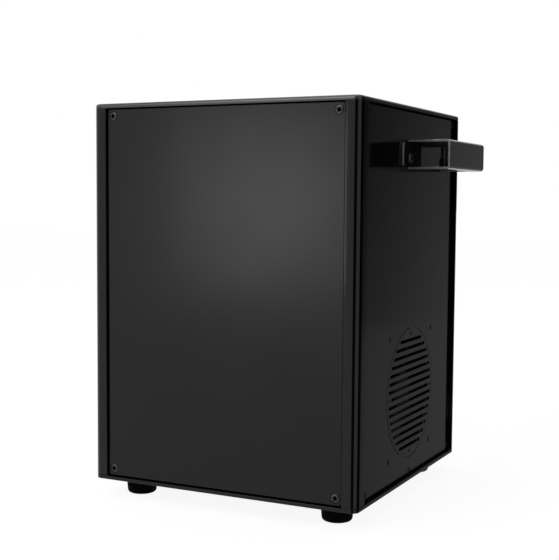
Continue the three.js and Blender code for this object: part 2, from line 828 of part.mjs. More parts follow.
const shelfLeft = sideInside - shelfSideRoom;
const shelfRight = casingWidth / 2 + fanBack - shelfFanRoom;
const shelfHalfDepth = casingDepth / 2 - shelfEndRoom;

function shelf() {
  const width = shelfLeft + shelfRight;
  const outline = roundedOutline(width, 2 * shelfHalfDepth, cornerRadius,
    (shelfRight - shelfLeft) / 2, 0);
  outline.holes.push(roundHole(draftHoleRadius, 0, 0, roundSteps));
  return plate(outline, shelfThickness);
}

function pillars() {
  const length = shelfUnderside - floorOfBay - 2 * seatGap;
  const left = -shelfLeft + pillarInset;
  const right = shelfRight - pillarInset;
  const deep = shelfHalfDepth - pillarInset;
  const places = [["front_left", left, -deep], ["front_right", right, -deep],
    ["rear_left", left, deep], ["rear_right", right, deep]];
  return places.map(([place, x, y]) => piece(`shelf_pillar_${place}`,
    bar(pillarRadius, length, "z", 0, 0, length / 2, tinyRoundSteps), zinc, x, y, floorOfBay + seatGap));
}

// Hopper under the filler opening, between the outlet's flange and the left wall, drawn upwards from
// its throat

const ringNeckRadius = tubeOuterRadius + seatGap + ringNeckWall;
const ringFlangeRadius = ringNeckRadius + ringFlangeWidth;
const hopperNear = ringFlangeRadius + lidRingGap + lidOverlap - fillerSideInset;
const hopperWidth = sideInside - hopperSideRoom - hopperNear;
const hopperCentre = hopperNear + hopperWidth / 2;
const fillerWidth = hopperWidth - 2 * fillerSideInset;
const fillerDepth = hopperDepth - 2 * fillerEndInset;
const throatWidth = hopperWidth * hopperTaperShare;
const throatDepth = hopperDepth * hopperTaperShare;
const hopperBottom = feederAxis + feederSaddleHeight + seatGap;
const hopperStraight = coverUnderside - seatGap - hopperBottom - hopperTaper - hopperThroat;

function hopperForm(inset, bottomReach, topReach) {
  const width = hopperWidth - 2 * inset;
  const depth = hopperDepth - 2 * inset;
  const narrowWidth = throatWidth - 2 * inset;
  const narrowDepth = throatDepth - 2 * inset;
  const funnel = new THREE.CylinderGeometry(Math.SQRT1_2, Math.SQRT1_2, hopperTaper, 4);
  funnel.rotateY(Math.PI / 4).rotateX(Math.PI / 2);
  const place = funnel.attributes.position;
  for (let i = 0; i < place.count; i += 1) {
    const isTop = place.getZ(i) > 0;
    place.setX(i, place.getX(i) * (isTop ? width : narrowWidth));
    place.setY(i, place.getY(i) * (isTop ? depth : narrowDepth));
  }
  const throatLength = hopperThroat + bottomReach;
  const straightLength = hopperStraight + topReach;
  const taperTop = hopperThroat + hopperTaper;
  return joined(
    solidOf(moved(funnel, 0, 0, hopperThroat + hopperTaper / 2)),
    block(narrowWidth, narrowDepth, throatLength, 0, 0, hopperThroat - throatLength / 2),
    block(width, depth, straightLength, 0, 0, taperTop + straightLength / 2),
  );
}

// The lid's own frame has its origin on the hinge pin, and the lid lies before it
const lidWidth = fillerWidth + 2 * lidOverlap;
const lidDepth = fillerDepth + 2 * lidOverlap;
const hingeY = lidDepth / 2 + hingeSetBack;
const hingeZ = casingTop + seatGap + hingeBaseThickness + hingeKnuckleRadius;

function fillerLid() {
  const underside = casingTop + seatGap - hingeZ;
  const middle = -hingeSetBack - lidDepth / 2;
  const leaf = plate(roundedOutline(lidWidth, lidDepth, lidCornerRadius, 0, middle), lidThickness,
    underside);
  const pull = block(lidPullWidth, lidPullDepth, lidPullHeight, 0,
    -hingeSetBack - lidDepth + lidPullDepth, underside + lidThickness + lidPullHeight / 2);
  const knuckleLength = lidWidth - 2 * (lidCornerRadius + hingeKnuckleLength + runningGap);
  const knuckle = bar(hingeKnuckleRadius, knuckleLength, "x", 0, 0, 0);
  const webLength = hingeSetBack + lidThickness;
  const web = block(knuckleLength, webLength, lidThickness / 2, 0, -webLength / 2,
    underside + (3 * lidThickness) / 4);
  const pinHole = bar(hingePinRadius + runningGap, lidWidth, "x", 0, 0, 0);
  return without(joined(leaf, pull, knuckle, web), pinHole);
}

function hingeBracket() {
  const outer = lidWidth / 2 - lidCornerRadius;
  const knuckles = [-1, 1].map((side) => bar(hingeKnuckleRadius, hingeKnuckleLength, "x",
    side * (outer - hingeKnuckleLength / 2), 0, 0));
  const strip = block(2 * outer, 2 * hingeKnuckleRadius, hingeBaseThickness, 0,
    hingeKnuckleRadius + runningGap, -hingeKnuckleRadius - hingeBaseThickness / 2);
  const cheeks = [-1, 1].map((side) => block(hingeKnuckleLength, hingeKnuckleRadius,
    hingeKnuckleRadius + hingeBaseThickness, side * (outer - hingeKnuckleLength / 2),
    hingeKnuckleRadius / 2, -(hingeKnuckleRadius + hingeBaseThickness) / 2));
  const pinHole = bar(hingePinRadius + seatGap, lidWidth, "x", 0, 0, 0);
  return without(joined(strip, ...knuckles, ...cheeks), pinHole);
}

function hopperAndLid() {
  const shell = without(hopperForm(0, 0, 0), hopperForm(hopperWall, cutOverrun, cutOverrun));
  const pinLength = lidWidth - 2 * lidCornerRadius;
  return groupOf(
    piece("hopper", shell, zinc, -hopperCentre, 0, hopperBottom),
    piece("filler_lid", fillerLid(), paint, -hopperCentre, hingeY, hingeZ),
    piece("lid_hinge_bracket", hingeBracket(), paint, -hopperCentre, hingeY, hingeZ),
    piece("lid_hinge_pin", bar(hingePinRadius, pinLength, "x", 0, 0, 0, tinyRoundSteps), steel,
      -hopperCentre, hingeY, hingeZ),
  );
}

// Feeder: a screw in a tube carries granules from the hopper's throat to the chamber's port

const feederFront = tubeOuterRadius + seatGap;
const augerFlightRadius = feederBoreRadius - augerRoom;
const gearStack = seatGap + bracketThickness + runningGap + gearHubLength + gearFaceWidth + seatGap;
const feederRear = sideInside - feederEndRoom - gearStack;
const feederLength = feederRear - feederFront;
const feederMiddle = -(feederRear + feederFront) / 2;
const bracketOuter = -feederRear - seatGap - bracketThickness;
const gearPlane = bracketOuter - runningGap - gearHubLength - gearFaceWidth / 2;
const pinionPitchRadius = (gearModule * pinionTeeth) / 2;
const gearDistance = gearPitchRadius + pinionPitchRadius;

function feederHousing() {
  const saddleWidth = throatWidth + 2 * feederSaddleMargin;
  const saddleDepth = throatDepth + 2 * feederSaddleMargin;
  const cutHeight = feederSaddleHeight + cutOverrun;
  const body = joined(
    bar(feederOuterRadius, feederLength, "x", feederMiddle, 0, 0, roundSteps),
    block(saddleWidth, saddleDepth, feederSaddleHeight, -hopperCentre, 0, feederSaddleHeight / 2),
  );
  return without(
    body,
    bar(feederBoreRadius, feederLength + cutOverrun, "x", feederMiddle, 0, 0, roundSteps),
    block(throatWidth - 2 * hopperWall, throatDepth - 2 * hopperWall, cutHeight, -hopperCentre, 0,
      cutHeight / 2),
  );
}

// The flight is a long thin box wound round the core
function feedAuger() {
  const flightLength = augerPitch * augerTurns;
  const depth = augerFlightRadius - augerCoreRadius / 2;
  const steps = augerTurns * augerStepsPerTurn;
  const flight = new THREE.BoxGeometry(flightLength, depth, augerFlightThickness, steps, 1, 1);
  const place = flight.attributes.position;
  for (let i = 0; i < place.count; i += 1) {
    const share = place.getX(i) / flightLength + 1 / 2;
    const turn = share * augerTurns * 2 * Math.PI;
    const radius = augerFlightRadius - depth / 2 + place.getY(i);
    const along = (share - 1 / 2) * flightLength + place.getZ(i);
    place.setXYZ(i, along, radius * Math.cos(turn), -radius * Math.sin(turn));
  }
  const flightMiddle = feederFront + seatGap + flightLength / 2;
  const coreEnd = -gearPlane + gearFaceWidth / 2 + seatGap;
  const coreStart = feederFront + seatGap;
  const coreLength = coreEnd - coreStart;
  return joined(
    solidOf(moved(flight, -flightMiddle - augerFlightThickness, 0, 0)),
    bar(augerCoreRadius, coreLength, "x", -(coreStart + coreEnd) / 2, 0, 0),
  );
}

// Spur teeth with straight flanks through the pitch circle, drawn in the X-Y plane
function toothedOutline(teeth, shift) {
  const pitch = (gearModule * teeth) / 2;
  const tip = pitch + addendumShare * gearModule;
  const root = pitch - dedendumShare * gearModule;
  const halfTooth = (Math.PI * gearModule) / 4 - gearBacklash / 2;
  const base = pitch * Math.cos(pressureAngle);
  // The involute's polar angle at a radius
  const involute = (radius) => {
    const angle = Math.acos(Math.min(1, base / radius));
    return Math.tan(angle) - angle;
  };
  const halfAngle = (radius) => halfTooth / pitch + involute(pitch) - involute(radius);
  const middle = (pitch + tip) / 2;
  const radii = [root, Math.max(base, root), middle, tip];
  const points = [];
  for (let i = 0; i < teeth; i += 1) {
    const centre = shift + (i * 2 * Math.PI) / teeth;
    const flank = radii.map((radius) => [radius, halfAngle(radius)]);
    flank.forEach(([radius, half]) => points.push([radius, centre - half]));
    flank.reverse().forEach(([radius, half]) => points.push([radius, centre + half]));
  }
  const spread = points.filter(([radius, angle], i) => {
    const [nextRadius, nextAngle] = points[(i + 1) % points.length];
    return radius !== nextRadius || angle !== nextAngle;
  });
  return outlineOf(spread.map(([radius, angle]) => [radius * Math.cos(angle), radius * Math.sin(angle)]));
}

function gearWheel(teeth, shift, boreRadius, hubRadius) {
  const outline = toothedOutline(teeth, shift);
  const wheel = new THREE.ExtrudeGeometry(outline, { depth: gearFaceWidth, bevelEnabled: false });
  const toX = new THREE.Matrix4().makeBasis(
    new THREE.Vector3(0, 1, 0), new THREE.Vector3(0, 0, 1), new THREE.Vector3(1, 0, 0));
  wheel.translate(0, 0, -gearFaceWidth / 2).applyMatrix4(toX);
  const hub = bar(hubRadius, gearHubLength, "x", (gearFaceWidth + gearHubLength) / 2, 0, 0);
  const bore = bar(boreRadius, 2 * gearFaceWidth + 2 * gearHubLength, "x", 0, 0, 0);
  return without(joined(solidOf(wheel), hub), bore);
}

// The motor's shaft and pinion are one piece; its own axis lies beside the screw, towards the front
function motorPinion() {
  const shaftLength = gearHubLength + gearFaceWidth + bracketThickness + 2 * motorShaftRadius;
  const shaftMiddle = -gearFaceWidth / 2 + shaftLength / 2;
  const shaft = bar(motorShaftRadius, shaftLength, "x", shaftMiddle, 0, 0);
  const hubRadius = 2 * motorShaftRadius;
  return joined(gearWheel(pinionTeeth, Math.PI / pinionTeeth, motorShaftRadius / 2, hubRadius), shaft);
}

function feedMotor() {
  const body = bar(motorRadius, motorLength, "x", motorLength / 2, 0, 0, roundSteps);
  const boss = bar(motorRadius / 2, motorShaftRadius, "x", motorLength + motorShaftRadius / 2, 0, 0);
  const depth = 2 * motorShaftRadius + 2 * seatGap;
  const shaftHole = bar(motorShaftRadius + runningGap, 2 * depth, "x", 0, 0, 0);
  return without(joined(body, boss), shaftHole);
}

// An upright plate on the shelf that holds the rear of the housing and the motor's face
function feederBracket() {
  const reach = gearDistance + motorRadius + bracketMargin;
  const back = feederOuterRadius + bracketMargin;
  const top = feederHeight + feederOuterRadius + bracketMargin - seatGap;
  const upright = block(bracketThickness, reach + back, top, 0, (back - reach) / 2,
    top / 2 - feederHeight + seatGap);
  const foot = block(motorRadius, reach + back, bracketThickness, -motorRadius / 2, (back - reach) / 2,
    bracketThickness / 2 - feederHeight + seatGap);
  return without(
    joined(upright, foot),
    bar(augerCoreRadius + runningGap, motorRadius, "x", 0, 0, 0),
    bar(motorShaftRadius + runningGap, motorRadius, "x", 0, -gearDistance, 0),
  );
}

function feeder() {
  const group = groupOf(
    piece("feeder_housing", feederHousing(), aluminium),
    piece("feed_auger", feedAuger(), steel),
    piece("auger_gear", gearWheel(gearTeeth, 0, augerCoreRadius + seatGap, 3 * augerCoreRadius), brass,
      gearPlane, 0, 0),
    piece("feeder_bracket", feederBracket(), zinc, bracketOuter + bracketThickness / 2, 0, 0),
    piece("feed_motor", feedMotor(), steel, -feederRear, -gearDistance, 0),
    piece("motor_pinion", motorPinion(), brass, gearPlane, -gearDistance, 0),
  );
  group.position.z = feederAxis;
  return group;
}

// Blower: a scroll housing whose outlet meets the hole in the shelf, drawn in its own X-Z plane

function scrollOutline(inset) {
  const points = [];
  for (let i = 0; i <= voluteSteps; i += 1) {
    const share = i / voluteSteps;
    const turn = -share * 1.75 * Math.PI;
    const radius = voluteStart + voluteGrowth * (1 - share) - inset;
    points.push([radius * Math.cos(turn), radius * Math.sin(turn)]);
  }
  return outlineOf(points);
}

function scrollBody(inset, topReach) {
  const depth = voluteDepth - 2 * inset;
  const scroll = new THREE.ExtrudeGeometry(scrollOutline(inset), { depth, bevelEnabled: false });
  scroll.translate(0, 0, -depth / 2).rotateX(Math.PI / 2);
  const ductWidth = voluteStart - 2 * inset;
  const ductHeight = blowerDrop - seatGap + topReach;
  const ductX = voluteStart + voluteGrowth - voluteStart / 2;
  return joined(solidOf(scroll), block(ductWidth, depth, ductHeight, ductX, 0, ductHeight / 2));
}

const blowerX = -(voluteStart / 2 + voluteGrowth);
const impellerRadius = voluteStart - voluteWall - impellerRoom;
const impellerWidth = voluteDepth - 2 * (voluteWall + impellerSideRoom);

function blowerHousing() {
  const motor = bar(blowerMotorRadius, blowerMotorLength, "y", 0,
    (voluteDepth + blowerMotorLength) / 2 - voluteWall / 2, 0);
  const inlet = bar(blowerInletRadius, 3 * voluteWall, "y", 0, -voluteDepth / 2, 0, roundSteps);
  const shaftHole = bar(blowerShaftRadius + runningGap, blowerMotorLength, "y", 0,
    voluteDepth / 2 + voluteWall, 0);
  const shell = joined(scrollBody(0, 0), motor);
  return without(shell, scrollBody(voluteWall, voluteWall + cutOverrun), inlet, shaftHole);
}

function blowerImpeller() {
  const disc = bar(impellerRadius, impellerDiscThickness, "y", 0,
    (impellerWidth - impellerDiscThickness) / 2, 0, roundSteps);
  const shaftLength = (voluteDepth - impellerWidth) / 2 + 2 * voluteWall + impellerDiscThickness;
  const shaft = bar(blowerShaftRadius, shaftLength, "y", 0,
    impellerWidth / 2 - impellerDiscThickness + shaftLength / 2, 0);
  const middle = impellerRadius - impellerBladeDepth / 2;
  const blades = Array.from({ length: impellerBlades }, (_, i) => {
    const blade = new THREE.BoxGeometry(impellerBladeDepth, impellerWidth, impellerBladeThickness);
    blade.translate(middle, 0, 0).rotateY((i * 2 * Math.PI) / impellerBlades);
    return solidOf(blade);
  });
  return joined(disc, shaft, ...blades);
}

function blower() {
  const group = groupOf(
    piece("blower_housing", blowerHousing(), blackPlastic),
    piece("blower_impeller", blowerImpeller(), whitePlastic),
  );
  group.position.set(blowerX, 0, shelfUnderside - blowerDrop);
  return group;
}

// Electronics in the lower bay. A board's solid holds its spacers and its soldered parts

const bayLeft = pillarInset + pillarRadius - shelfLeft;
const bayRight = shelfRight - pillarInset - pillarRadius;
const driverWidth = 2 * (bayRight - driverSideRoom);
const driverForward = frontInside - driverFrontRoom - driverDepth / 2;
const capacitorPitch = 2 * capacitorRadius + standOffRadius;
const firstCapacitor = -driverWidth / 2 + 3 * standOffRadius + capacitorRadius;
const chokeLeft = firstCapacitor + capacitorPitch + capacitorRadius + chokeRoom;
const sinkLeft = chokeLeft + chokeSize + chokeRoom;
const sinkWidth = driverWidth / 2 - sinkLeft;
const supplyLeft = bayLeft + supplyLeftRoom;
const supplyWidth = bayRight - supplyRightRoom - supplyTerminalWidth - supplyLeft;
const supplyBack = rearInside - supplyRearRoom - supplyDepth / 2;

function boardOn(width, depth, spacerLength) {
  const posts = [-1, 1].flatMap((sideX) => [-1, 1].map((sideY) => bar(standOffRadius,
    spacerLength + boardThickness / 2, "z",
    sideX * (width / 2 - 2 * standOffRadius), sideY * (depth / 2 - 2 * standOffRadius),
    (spacerLength + boardThickness / 2) / 2, tinyRoundSteps)));
  return joined(block(width, depth, boardThickness, 0, 0, spacerLength + boardThickness / 2), ...posts);
}

function driverBoard() {
  const deck = boardStandOff + boardThickness;
  const capacitors = Array.from({ length: capacitorCount }, (_, i) => bar(capacitorRadius,
    capacitorHeight + boardThickness / 2, "z", firstCapacitor + (i % 2) * capacitorPitch,
    (Math.floor(i / 2) - 1 / 2) * capacitorPitch, deck + (capacitorHeight - boardThickness / 2) / 2));
  const choke = block(chokeSize, chokeSize, chokeSize, chokeLeft + chokeSize / 2, 0,
    deck + chokeSize / 2 - boardThickness / 2);
  return joined(boardOn(driverWidth, driverDepth, boardStandOff), choke, ...capacitors);
}

function heatSink() {
  const base = block(sinkWidth, sinkDepth, sinkBase, 0, 0, sinkBase / 2);
  const spaces = Math.round((sinkWidth - sinkFinThickness) / sinkFinPitch);
  const pitch = (sinkWidth - sinkFinThickness) / spaces;
  const finHeight = sinkFinHeight + sinkBase / 2;
  const fins = Array.from({ length: spaces + 1 }, (_, i) => block(sinkFinThickness, sinkDepth, finHeight,
    -sinkWidth / 2 + sinkFinThickness / 2 + i * pitch, 0, sinkBase / 2 + finHeight / 2));
  return joined(base, ...fins);
}

function powerSupply() {
  const can = block(supplyWidth, supplyDepth, supplyHeight, 0, 0, supplyHeight / 2);
  const terminals = block(supplyTerminalWidth, supplyDepth - supplyTerminalWidth, supplyTerminalHeight,
    supplyWidth / 2 + supplyTerminalWidth / 2 - seatGap, 0, supplyTerminalHeight / 2);
  return joined(can, terminals);
}

function lowerBay() {
  const deck = boardStandOff + boardThickness;
  const group = groupOf(
    piece("driver_board", driverBoard(), circuit, 0, -driverForward, 0),
    piece("heat_sink", heatSink(), aluminium, sinkLeft + sinkWidth / 2, -driverForward,
      deck + seatGap),
    piece("power_supply", powerSupply(), zinc, supplyLeft + supplyWidth / 2, supplyBack, 0),
  );
  group.position.z = floorOfBay + seatGap;
  return group;
}

// Rear wall: the panel and what is set in it. Z points out, with zero at the casing's rear plane, and
// heights count from the casing's underside. The pieces share one opening size with the panel's cutouts

const rearFace = -rearRecess;
const rearBack = rearFace - panelThickness;
const displayCentreHeight = casingHeight - displayBelowTop;
const buttonRowHeight = displayCentreHeight - displayHeight / 2 - displayFrame - buttonRowGap;
const buttonFlangeRadius = buttonRadius + buttonFlangeWidth;
const signalCentreHeight = buttonRowHeight - signalRowGap;
const signalBarrelRadius = signalCavityRadius + signalWall;
const signalInsertRadius = signalCavityRadius - signalGroove;
const inletCentreHeight = baseThickness + supplyHeight + inletSupplyRoom + inletHeight / 2;
const buttonInside = panelThickness + seatGap + panelThickness / 2;
const tactHeight = controlBoardDistance + panelThickness - buttonInside - buttonTravel - seatGap;
const signalPlaces = [-1, 1];
const latchMiddle = signalCavityRadius + latchHeight / 2 + 2 * runningGap;
const latchCaseWidth = latchWidth + 2 * (runningGap + latchCaseWall);
const latchCaseHeight = latchHeight + 2 * (runningGap + latchCaseWall);
const buttonPlaces = Array.from({ length: buttonCount }, (_, i) => (i - (buttonCount - 1) / 2) * buttonPitch);

function rearPanel() {
  const outline = roundedOutline(facePanelWidth, panelHeight, panelCornerRadius, 0,
    panelCentre - casingBottom);
  const square = (width, height, x, y) => outline.holes.push(
    squareHole(width + 2 * seatGap, height + 2 * seatGap, x, y));
  square(displayWidth, displayHeight, 0, displayCentreHeight);
  buttonPlaces.forEach((x) => outline.holes.push(
    roundHole(buttonRadius + seatGap, x, buttonRowHeight, smallRoundSteps)));
  signalPlaces.forEach((side) => outline.holes.push(
    roundHole(signalBarrelRadius + seatGap, (side * signalSpacing) / 2, signalCentreHeight, roundSteps)));
  square(inletWidth, inletHeight, -inletOffset, inletCentreHeight);
  square(switchWidth, switchHeight, switchOffset, inletCentreHeight);
  const latchCut = block(latchCaseWidth + 2 * seatGap, latchCaseHeight + 2 * seatGap,
    panelThickness + cutOverrun, signalSpacing / 2, signalCentreHeight + latchMiddle, panelThickness / 2);
  return without(plate(outline, panelThickness), latchCut);
}

function displayPane() {
  const frame = block(displayWidth + 2 * displayFrame, displayHeight + 2 * displayFrame, displayProud,
    0, 0, seatGap + displayProud / 2);
  const pane = block(displayWidth, displayHeight, panelThickness + displayProud + seatGap, 0, 0,
    (displayProud + seatGap - panelThickness) / 2);
  return joined(frame, pane);
}

function buttonCap() {
  const inside = panelThickness + seatGap;
  const length = buttonProud + inside + panelThickness / 2;
  const stem = bar(buttonRadius, length, "z", 0, 0, buttonProud - length / 2, smallRoundSteps);
  const flange = bar(buttonFlangeRadius, panelThickness / 2, "z", 0, 0, -inside - panelThickness / 4);
  return joined(stem, flange);
}

function controlBoard() {
  const board = block(controlBoardWidth, controlBoardHeight, boardThickness, 0, 0, -boardThickness / 2);
  const spacer = controlBoardDistance - seatGap;
  const posts = [-1, 1].flatMap((sideX) => [-1, 1].map((sideY) => bar(standOffRadius,
    spacer + boardThickness / 2, "z", sideX * (controlBoardWidth / 2 - 2 * standOffRadius),
    sideY * (controlBoardHeight / 2 - 2 * standOffRadius), (spacer - boardThickness / 2) / 2,
    tinyRoundSteps)));
  const middle = (displayCentreHeight + buttonRowHeight) / 2;
  const glassHeight = controlBoardDistance - seatGap;
  const module = block(displayWidth, displayHeight, glassHeight, 0, displayCentreHeight - middle,
    glassHeight / 2 - seatGap);
  const switches = buttonPlaces.map((x) => block(tactSize, tactSize, tactHeight + boardThickness / 2, x,
    buttonRowHeight - middle, (tactHeight - boardThickness / 2) / 2));
  return joined(board, module, ...posts, ...switches);
}

function signalShell() {
  const width = 2 * (signalBarrelRadius + signalFlangeMargin);
  const height = 2 * (latchMiddle + latchCaseHeight / 2 + latchFlangeMargin);
  const outline = roundedOutline(width, height, panelCornerRadius);
  const flange = plate(outline, signalFlangeThickness, seatGap);
  const barrel = bar(signalBarrelRadius, signalBarrelLength, "z", 0, 0,
    seatGap + signalFlangeThickness / 2 - signalBarrelLength / 2, roundSteps);
  return joined(flange, barrel);
}

function signalIn() {
  const depth = signalCavityDepth + signalFlangeThickness;
  const top = seatGap + signalFlangeThickness;
  return without(signalShell(), bar(signalCavityRadius, depth, "z", 0, 0,
    top + signalFlangeThickness - depth / 2, roundSteps));
}

// The outlet's insert stands in a groove for the plug's shell, with three sockets and a latch above
function signalOut() {
  const top = seatGap + signalFlangeThickness;
  const depth = signalCavityDepth + signalFlangeThickness;
  const groove = bar(signalCavityRadius, depth, "z", 0, 0, top + signalFlangeThickness - depth / 2,
    roundSteps);
  const insertLength = depth;
  const insert = bar(signalInsertRadius, insertLength, "z", 0, 0, top - insertLength / 2, roundSteps);
  const pins = [-1, 0, 1].map((place) => {
    const turn = -Math.PI / 2 + (place * Math.PI) / 2;
    return bar(signalPinHoleRadius, signalCavityDepth, "z", signalPinCircle * Math.cos(turn),
      signalPinCircle * Math.sin(turn), top, tinyRoundSteps);
  });
  const latchSlot = block(latchWidth + 2 * runningGap, latchHeight + 2 * runningGap,
    2 * (latchLength + latchTravel + seatGap), 0, latchMiddle, top);
  const caseDepth = latchLength + latchTravel + seatGap + latchCaseWall;
  const latchCase = block(latchCaseWidth, latchCaseHeight, caseDepth, 0, latchMiddle,
    top - signalFlangeThickness / 2 - caseDepth / 2);
  const socket = joined(without(joined(signalShell(), latchCase), groove), insert);
  return without(socket, latchSlot, ...pins);
}

function socketLatch() {
  const length = latchLength + latchProud;
  return block(latchWidth, latchHeight, length, 0, latchMiddle, latchProud - length / 2);
}

// The mains inlet holds three blades in a cavity, and a fuse drawer in the slot under it
const inletCavityMiddle = inletHeight / 2 - inletFlange - inletCavityHeight / 2;
const fuseMiddle = -inletHeight / 2 + inletFlange + fuseHeight / 2;

function powerInlet() {
  const top = seatGap + inletFlangeThickness;
  const outline = roundedOutline(inletWidth + 2 * inletFlange, inletHeight + 2 * inletFlange,
    panelCornerRadius);
  const shell = joined(
    plate(outline, inletFlangeThickness, seatGap, 3),
    block(inletWidth, inletHeight, inletBodyDepth, 0, 0,
      seatGap + inletFlangeThickness / 2 - inletBodyDepth / 2),
  );
  const cavity = block(inletCavityWidth, inletCavityHeight, 2 * inletCavityDepth, 0, inletCavityMiddle, top);
  const drawerSlot = block(fuseWidth + 2 * runningGap, fuseHeight + 2 * runningGap,
    2 * (fuseLength + seatGap), 0, fuseMiddle, top);
  const bladeLength = inletCavityDepth - inletPinWidth / 2;
  const blades = [[-1, -1], [1, -1], [0, 1]].map(([sideX, sideY]) => block(inletPinThickness,
    inletPinWidth, bladeLength, (sideX * inletPinSpread) / 2, inletCavityMiddle + sideY * inletPinWidth / 2,
    top - inletCavityDepth + bladeLength / 2 - seatGap));
  return joined(without(shell, cavity, drawerSlot), ...blades);
}

function fuseDrawer() {
  const top = seatGap + inletFlangeThickness;
  const body = block(fuseWidth, fuseHeight, fuseLength, 0, fuseMiddle, top - fuseLength / 2);
  const lip = block(fuseWidth / 2, fuseLip, fuseProud + seatGap, 0, fuseMiddle - (fuseHeight - fuseLip) / 2,
    top + (fuseProud - seatGap) / 2);
  return joined(body, lip);
}

// The rocker's profile lies in its Y-Z plane about its own pin, tipped to its off side
const rockerPivotZ = seatGap + switchFlangeThickness - rockerPivotDepth;

function switchBezel() {
  const outline = roundedOutline(switchWidth + 2 * switchFlange, switchHeight + 2 * switchFlange,
    panelCornerRadius);
  const shell = joined(
    plate(outline, switchFlangeThickness, seatGap, 3),
    block(switchWidth, switchHeight, switchBodyDepth, 0, 0,
      seatGap + switchFlangeThickness / 2 - switchBodyDepth / 2),
  );
  const pocket = block(rockerWidth + 2 * runningGap, rockerHeight + 4 * runningGap,
    2 * (rockerDepth + rockerRise), 0, 0, seatGap + switchFlangeThickness);
  const pinHole = bar(rockerPinRadius + runningGap, rockerWidth + switchFlange, "x", 0, 0, rockerPivotZ);
  return without(shell, pocket, pinHole);
}

function powerRocker() {
  const half = rockerHeight / 2;
  const low = -rockerDepth + rockerPivotDepth;
  const valley = rockerPivotDepth + rockerRise / 4;
  const profile = outlineOf([[-half, low / 2], [-half / 2, low], [half / 2, low], [half, low / 2],
    [half, rockerPivotDepth + rockerRise], [0, valley], [-half, rockerPivotDepth + rockerRise]]);
  const body = new THREE.ExtrudeGeometry(profile, { depth: rockerWidth, bevelEnabled: false });
  const toYZ = new THREE.Matrix4().makeBasis(
    new THREE.Vector3(0, 1, 0), new THREE.Vector3(0, 0, 1), new THREE.Vector3(1, 0, 0));
  body.translate(0, 0, -rockerWidth / 2).applyMatrix4(toYZ);
  const pin = bar(rockerPinRadius, rockerWidth + switchFlange - runningGap, "x", 0, 0, 0, tinyRoundSteps);
  return joined(solidOf(body), pin);
}

function rearWall() {
  const boardMiddle = (displayCentreHeight + buttonRowHeight) / 2;
  const buttons = buttonPlaces.map((x, i) => piece(`button_${i + 1}`, buttonCap(), blackPlastic,
    x, buttonRowHeight, rearFace));
  const signalX = signalSpacing / 2;
  const rocker = piece("power_rocker", powerRocker(), blackPlastic, switchOffset, inletCentreHeight,
    rearFace + rockerPivotZ);
  rocker.rotation.x = rockerTilt;
  return wallGroup(0, 1, [
    piece("rear_panel", rearPanel(), paint, 0, 0, rearBack),
    piece("display_pane", displayPane(), glass, 0, displayCentreHeight, rearFace),
    piece("control_board", controlBoard(), circuit, 0, boardMiddle, rearBack - controlBoardDistance),
    piece("signal_in", signalIn(), blackPlastic, -signalX, signalCentreHeight, rearFace),
    piece("signal_out", signalOut(), blackPlastic, signalX, signalCentreHeight, rearFace),
    piece("socket_latch", socketLatch(), zinc, signalX, signalCentreHeight,
      rearFace + seatGap + signalFlangeThickness),
    piece("power_inlet", powerInlet(), blackPlastic, -inletOffset, inletCentreHeight, rearFace),
    piece("fuse_drawer", fuseDrawer(), blackPlastic, -inletOffset, inletCentreHeight, rearFace),
    piece("switch_bezel", switchBezel(), blackPlastic, switchOffset, inletCentreHeight, rearFace),
    rocker,
    ...buttons,
  ]);
}

function frontWall() {
  const outline = roundedOutline(facePanelWidth, panelHeight, panelCornerRadius, 0,
    panelCentre - casingBottom);
  return wallGroup(0, -1, piece("front_panel", plate(outline, panelThickness), paint, 0, 0,
    -frontRecess - panelThickness));
}

const machine = groupOf(
  feet(),
  piece("base_plate", basePlate(), paint, 0, 0, casingBottom),
  cornerPosts(),
  piece("top_cover", topCover(), paint, 0, 0, coverUnderside),
  frontWall(),
  rearWall(),
  sideWall(1),
  sideWall(-1),
  heatingChamber(),
  piece("shelf", shelf(), zinc, 0, 0, shelfUnderside),
  pillars(),
  hopperAndLid(),
  feeder(),
  blower(),
  lowerBay(),
);
machine.name = "cold_spark_machine";
console.log(`induction_coil: least gap to itself ${leastCoilGap().toFixed(2)} mm`);

export default machine;
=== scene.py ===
"""The looks of a cold spark machine: finishes, screws, handles, feet, outlet, seals, controls, stage.

The solid model is loaded as a fixed frame in metres, with Z up and the front towards -Y. Each operator
below makes one piece or one group of like pieces on that frame.
"""

import math
from functools import partial

import bmesh
import bpy
from bpy.props import FloatProperty, FloatVectorProperty, PointerProperty
from mathutils import Matrix, Vector, noise
from mathutils.bvhtree import BVHTree


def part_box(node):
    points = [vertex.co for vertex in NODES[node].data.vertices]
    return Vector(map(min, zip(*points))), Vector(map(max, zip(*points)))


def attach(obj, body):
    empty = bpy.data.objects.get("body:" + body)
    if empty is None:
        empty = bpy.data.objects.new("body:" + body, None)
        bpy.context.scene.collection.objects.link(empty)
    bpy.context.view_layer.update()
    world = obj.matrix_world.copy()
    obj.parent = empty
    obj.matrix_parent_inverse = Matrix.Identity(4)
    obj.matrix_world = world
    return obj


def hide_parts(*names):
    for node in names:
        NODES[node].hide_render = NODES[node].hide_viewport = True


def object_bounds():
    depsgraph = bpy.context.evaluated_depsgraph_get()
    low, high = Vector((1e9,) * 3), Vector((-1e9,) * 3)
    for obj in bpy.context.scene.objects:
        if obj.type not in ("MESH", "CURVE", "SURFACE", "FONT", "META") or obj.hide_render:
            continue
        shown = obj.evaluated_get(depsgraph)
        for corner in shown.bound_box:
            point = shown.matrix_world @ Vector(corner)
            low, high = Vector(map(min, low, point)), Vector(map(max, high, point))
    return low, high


bl_info = {
    "name": "Cold spark machine",
    "version": (1, 0, 0),
    "blender": (4, 5, 0),
    "location": "3D View > Sidebar > Spark machine",
    "description": "Builds the finished surfaces and small pieces of a cold spark machine",
    "category": "Object",
}

